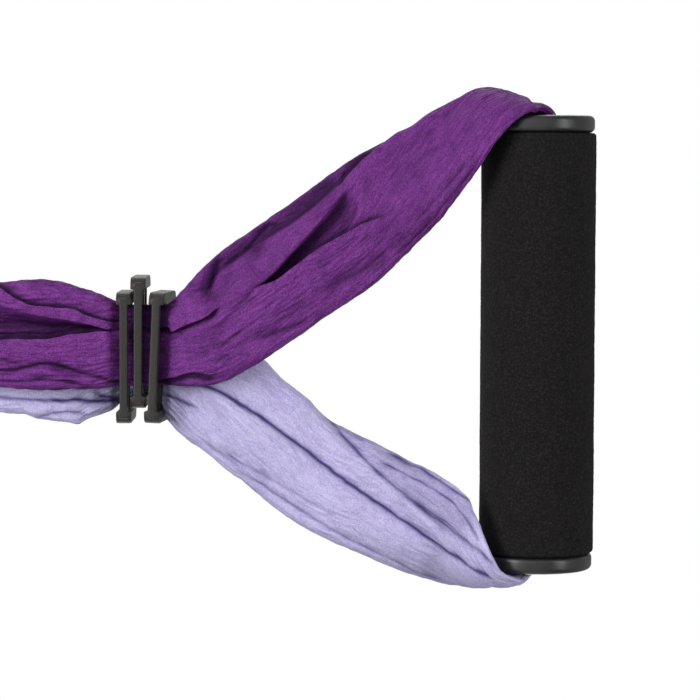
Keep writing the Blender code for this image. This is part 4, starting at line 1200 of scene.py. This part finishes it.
def foam_sleeve(finish):
    """The foam, with the slight roughness of its skin."""
    end, edge = FOAM_LENGTH / 2, FOAM_EDGE_RADIUS
    corner_x, corner_r = end - edge, FOAM_RADIUS - edge
    profile = line_points((-end, FOAM_BORE_RADIUS), (end, FOAM_BORE_RADIUS), FOAM_BORE_PITCH)
    profile += line_points((end, FOAM_BORE_RADIUS), (end, corner_r), FOAM_END_PITCH)
    profile += arc((corner_x, corner_r), edge, 0, 90, FOAM_EDGE_STEPS)[:-1]
    profile += line_points((corner_x, FOAM_RADIUS), (-corner_x, FOAM_RADIUS), FOAM_SKIN_PITCH)
    profile += arc((-corner_x, corner_r), edge, 90, 180, FOAM_EDGE_STEPS)[:-1]
    profile += line_points((-end, corner_r), (-end, FOAM_BORE_RADIUS), FOAM_END_PITCH)

    def skin(x, radius, angle):
        along, rounds = x / MM, angle * FOAM_RADIUS / MM
        bumps = sum(height * noise(along / length, rounds / width, seed)
                    for height, length, width, seed in FOAM_SKIN)
        return ramp(radius, *FOAM_SKIN_RADIUS) * (bumps - FOAM_SKIN_SINK) * MM

    return turned_piece("foam_grip", profile, FOAM_ROUND_STEPS, finish, skin)


def flange(name, side, finish):
    """A flanged plug: spigot, disc with rounded edges, and the bore with its rounded mouth."""
    edge, lip = FLANGE_EDGE_RADIUS, BORE_LIP_RADIUS
    rim, inner_end = FLANGE_RADIUS - edge, FLANGE_SEAT - SPIGOT_LENGTH
    profile = [
        (inner_end, BORE_RADIUS), (inner_end, SPIGOT_RADIUS - SPIGOT_CHAMFER),
        (inner_end + SPIGOT_CHAMFER, SPIGOT_RADIUS), (FLANGE_SEAT, SPIGOT_RADIUS),
        (FLANGE_SEAT, rim - FLANGE_FLAT), *arc((FLANGE_SEAT + edge, rim), edge, 180, 90),
        *arc((FLANGE_FACE - edge, rim), edge, 90, 0), (FLANGE_FACE, rim - FLANGE_FLAT),
        *arc((FLANGE_FACE - lip, BORE_RADIUS + lip), lip, 0, -90)]
    profile = [(side * x, radius) for x, radius in profile]
    return turned_piece(name, profile, FLANGE_ROUND_STEPS, finish)


def prism(builder, outline, thickness):
    """Adds a closed prism over an outline in the XY plane."""
    rings = [[builder.verts.new((x, y, z)) for x, y in outline]
             for z in (-thickness / 2, thickness / 2)]
    for ring in rings:
        builder.faces.new(ring)
    join_rings(builder, *rings)


def moulded_slide(name, height, push, tilt, lean, finish):
    """A three-bar slide: thick rounded heads, and bars that run out on the heads."""
    reach, deep, corner = SLOT_LENGTH / 2, SLIDE_DEPTH / 2, HEAD_CORNER_RADIUS
    builder = bmesh.new()
    centre_x, centre_y = reach + HEAD_LENGTH - corner, deep - corner
    head = [(reach, -deep), *arc((centre_x, -centre_y), corner, -90, 0),
            *arc((centre_x, centre_y), corner, 0, 90), (reach, deep)]
    for side in (-1, 1):
        prism(builder, [(side * x, y) for x, y in head], HEAD_THICKNESS)
    end = reach + BAR_RUN_OUT
    for place in (-1, 0, 1):
        centre = place * (deep - BAR_DEPTH / 2)
        half = BAR_DEPTH / 2 + (BAR_STEP if place else 0.0)
        low, high = centre - half, centre + half
        prism(builder, [(-end, low), (end, low), (end, high), (-end, high)], BAR_THICKNESS)
    mesh = bpy.data.meshes.new(f"slide_{name}_moulded")
    turned_outward(mesh, builder)
    drop = SLIDE_DEPTH / 2 * math.sin(lean)
    place = Vector((STACK_SHIFT + push, 0.0, STACK_HEIGHT + height - drop - GRIP_DROP))
    mesh.transform(Matrix.Translation(place) @ Euler((-lean, tilt, 0.0)).to_matrix().to_4x4())
    made = placed(mesh.name, mesh, finish)
    skin = made.modifiers.new("moulded_skin", "REMESH")
    skin.mode = "VOXEL"
    skin.voxel_size = SLIDE_SKIN
    skin.use_smooth_shade = True
    rounding = made.modifiers.new("moulded_edges", "SMOOTH")
    rounding.factor = SLIDE_ROUNDING
    rounding.iterations = SLIDE_ROUNDING_STEPS
    return made


def facing(right, up, back, place):
    """The matrix of a lamp or camera, from its directions and its place."""
    return Matrix(((*right, 0.0), (*up, 0.0), (*back, 0.0), (*place, 1.0))).transposed()


def add_lamp(name, offset, width, height, power):
    """A soft upright lamp that looks at the middle of the loop."""
    lamp = bpy.data.lights.new(name, "AREA")
    lamp.shape = "RECTANGLE"
    lamp.size, lamp.size_y, lamp.energy = width, height, power
    middle = Vector(LOOP_MIDDLE)
    place = middle + Vector(offset)
    ahead = (middle - place).normalized()
    side = ahead.cross(Vector((1.0, 0.0, 0.0))).normalized()
    placed(name, lamp).matrix_world = facing(side, side.cross(ahead), -ahead, place)


def make_camera():
    """The photograph's camera."""
    target = Vector(CAMERA_TARGET)
    side = Vector((math.sin(CAMERA_SIDE_ANGLE), -math.cos(CAMERA_SIDE_ANGLE), 0.0))
    place = target + CAMERA_DISTANCE * side
    ahead = (target - place).normalized()
    right = Vector((0.0, 0.0, -1.0))
    up = right.cross(ahead)
    cosine, sine = math.cos(CAMERA_ROLL), math.sin(CAMERA_ROLL)
    lens = bpy.data.cameras.new("camera")
    lens.sensor_width = CAMERA_SENSOR
    lens.lens = CAMERA_LENS
    camera = placed("camera", lens)
    camera.matrix_world = facing(
        right * cosine + up * sine, up * cosine - right * sine, -ahead, place)
    bpy.context.scene.camera = camera


def make_floor():
    """A plain pale floor, well below the hanging loop."""
    mesh = bpy.data.meshes.new("floor")
    builder = bmesh.new()
    bmesh.ops.create_circle(builder, cap_ends=True, radius=FLOOR_RADIUS, segments=FLOOR_SIDES)
    builder.to_mesh(mesh)
    builder.free()
    pale = bpy.data.materials.new("pale_floor")
    pale.use_nodes = True
    tree = pale.node_tree
    shader = tree.nodes["Principled BSDF"].inputs
    shader["Base Color"].default_value = FLOOR_COLOUR
    shader["Roughness"].default_value = FLOOR_ROUGHNESS
    shader["Emission Color"].default_value = WHITE
    seen = add_node(tree, "ShaderNodeLightPath").outputs["Is Camera Ray"]
    tree.links.new(maths(tree, "MULTIPLY", seen, FLOOR_GLOW), shader["Emission Strength"])
    floor = placed("floor", mesh, pale)
    floor.location = (0.0, 0.0, FLOOR_HEIGHT)


def make_world():
    """Soft light all round, and a white background."""
    world = bpy.data.worlds.new("studio")
    bpy.context.scene.world = world
    world.use_nodes = True
    tree = world.node_tree
    tree.nodes.clear()
    path = add_node(tree, "ShaderNodeLightPath").outputs
    shown = path["Is Camera Ray"]
    for kind in ("Is Glossy Ray", "Is Transmission Ray"):
        shown = maths(tree, "MAXIMUM", shown, path[kind])
    soft, white = (
        add_node(tree, "ShaderNodeBackground", {"Color": colour, "Strength": strength}).outputs[0]
        for colour, strength in ((SOFT_LIGHT, SOFT_LIGHT_STRENGTH), (WHITE, 1.0)))
    both = add_node(tree, "ShaderNodeMixShader", {0: shown, 1: soft, 2: white})
    add_node(tree, "ShaderNodeOutputWorld", {"Surface": both.outputs[0]})


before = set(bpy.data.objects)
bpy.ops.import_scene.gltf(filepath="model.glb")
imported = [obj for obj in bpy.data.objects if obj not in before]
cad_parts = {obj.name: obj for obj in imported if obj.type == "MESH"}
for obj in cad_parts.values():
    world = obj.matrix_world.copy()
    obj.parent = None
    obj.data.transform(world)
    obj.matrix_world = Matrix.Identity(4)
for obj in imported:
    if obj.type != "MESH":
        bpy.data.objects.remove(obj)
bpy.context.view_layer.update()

make_camera()
make_world()
make_floor()
bpy.context.scene.view_settings.view_transform = "Standard"
for lamp in LAMPS:
    add_lamp(*lamp)

finishes = {}
for effect, place_output, sockets, rows in (
    (crinkled_cloth_group(), "UV", CLOTH_SOCKETS, CLOTH_FINISHES),
    (speckle_group(), "Object", SPECKLE_SOCKETS, SPECKLED_FINISHES),
):
    for name, row in rows.items():
        finishes[name] = finish_material(name, effect, place_output, sockets, row)

foam = foam_sleeve(finishes["black_foam"])
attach(foam, "grip")
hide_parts("foam_sleeve")
for name, side in (("end_flange_upper", 1), ("end_flange_lower", -1)):
    plug = flange(f"{name}_turned", side, finishes["gloss_black_plastic"])
    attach(plug, "grip")
    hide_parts(name)
for name, *place in SLIDES:
    slide = moulded_slide(name, *place, finishes["slide_black_plastic"])
    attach(slide, f"{name}_slide")
    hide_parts(f"slide_{name}")
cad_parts["grip_tube"].data.materials.clear()
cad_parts["grip_tube"].data.materials.append(finishes["tube_plastic"])

strips = {
    "purple": strip_rows(PURPLE_LAP_ROWS, PURPLE_FRONT_ROWS, PURPLE_RIM_ROWS, EYE_STEPS),
    "lilac": strip_rows(LILAC_LAP_ROWS, LILAC_FRONT_ROWS, LILAC_RIM_ROWS),
}
pieces = {}
for name, *layout, flat in SHEETS:
    colour = name.split("_")[0]
    pieces[name] = cloth_sheet(
        name, strips[colour], *layout, SHADES[colour], finishes[f"{colour}_nylon_cloth"])
stitches = eye_stitches(pieces["purple_tail"], finishes["purple_thread"])
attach(stitches, "strips")
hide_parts("purple_strip")
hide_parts("lilac_strip")
for name in ("purple_leg", "lilac_leg"):
    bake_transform(pieces[name])
for name in ("purple_tail", "lilac_tail"):
    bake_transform(pieces[name])
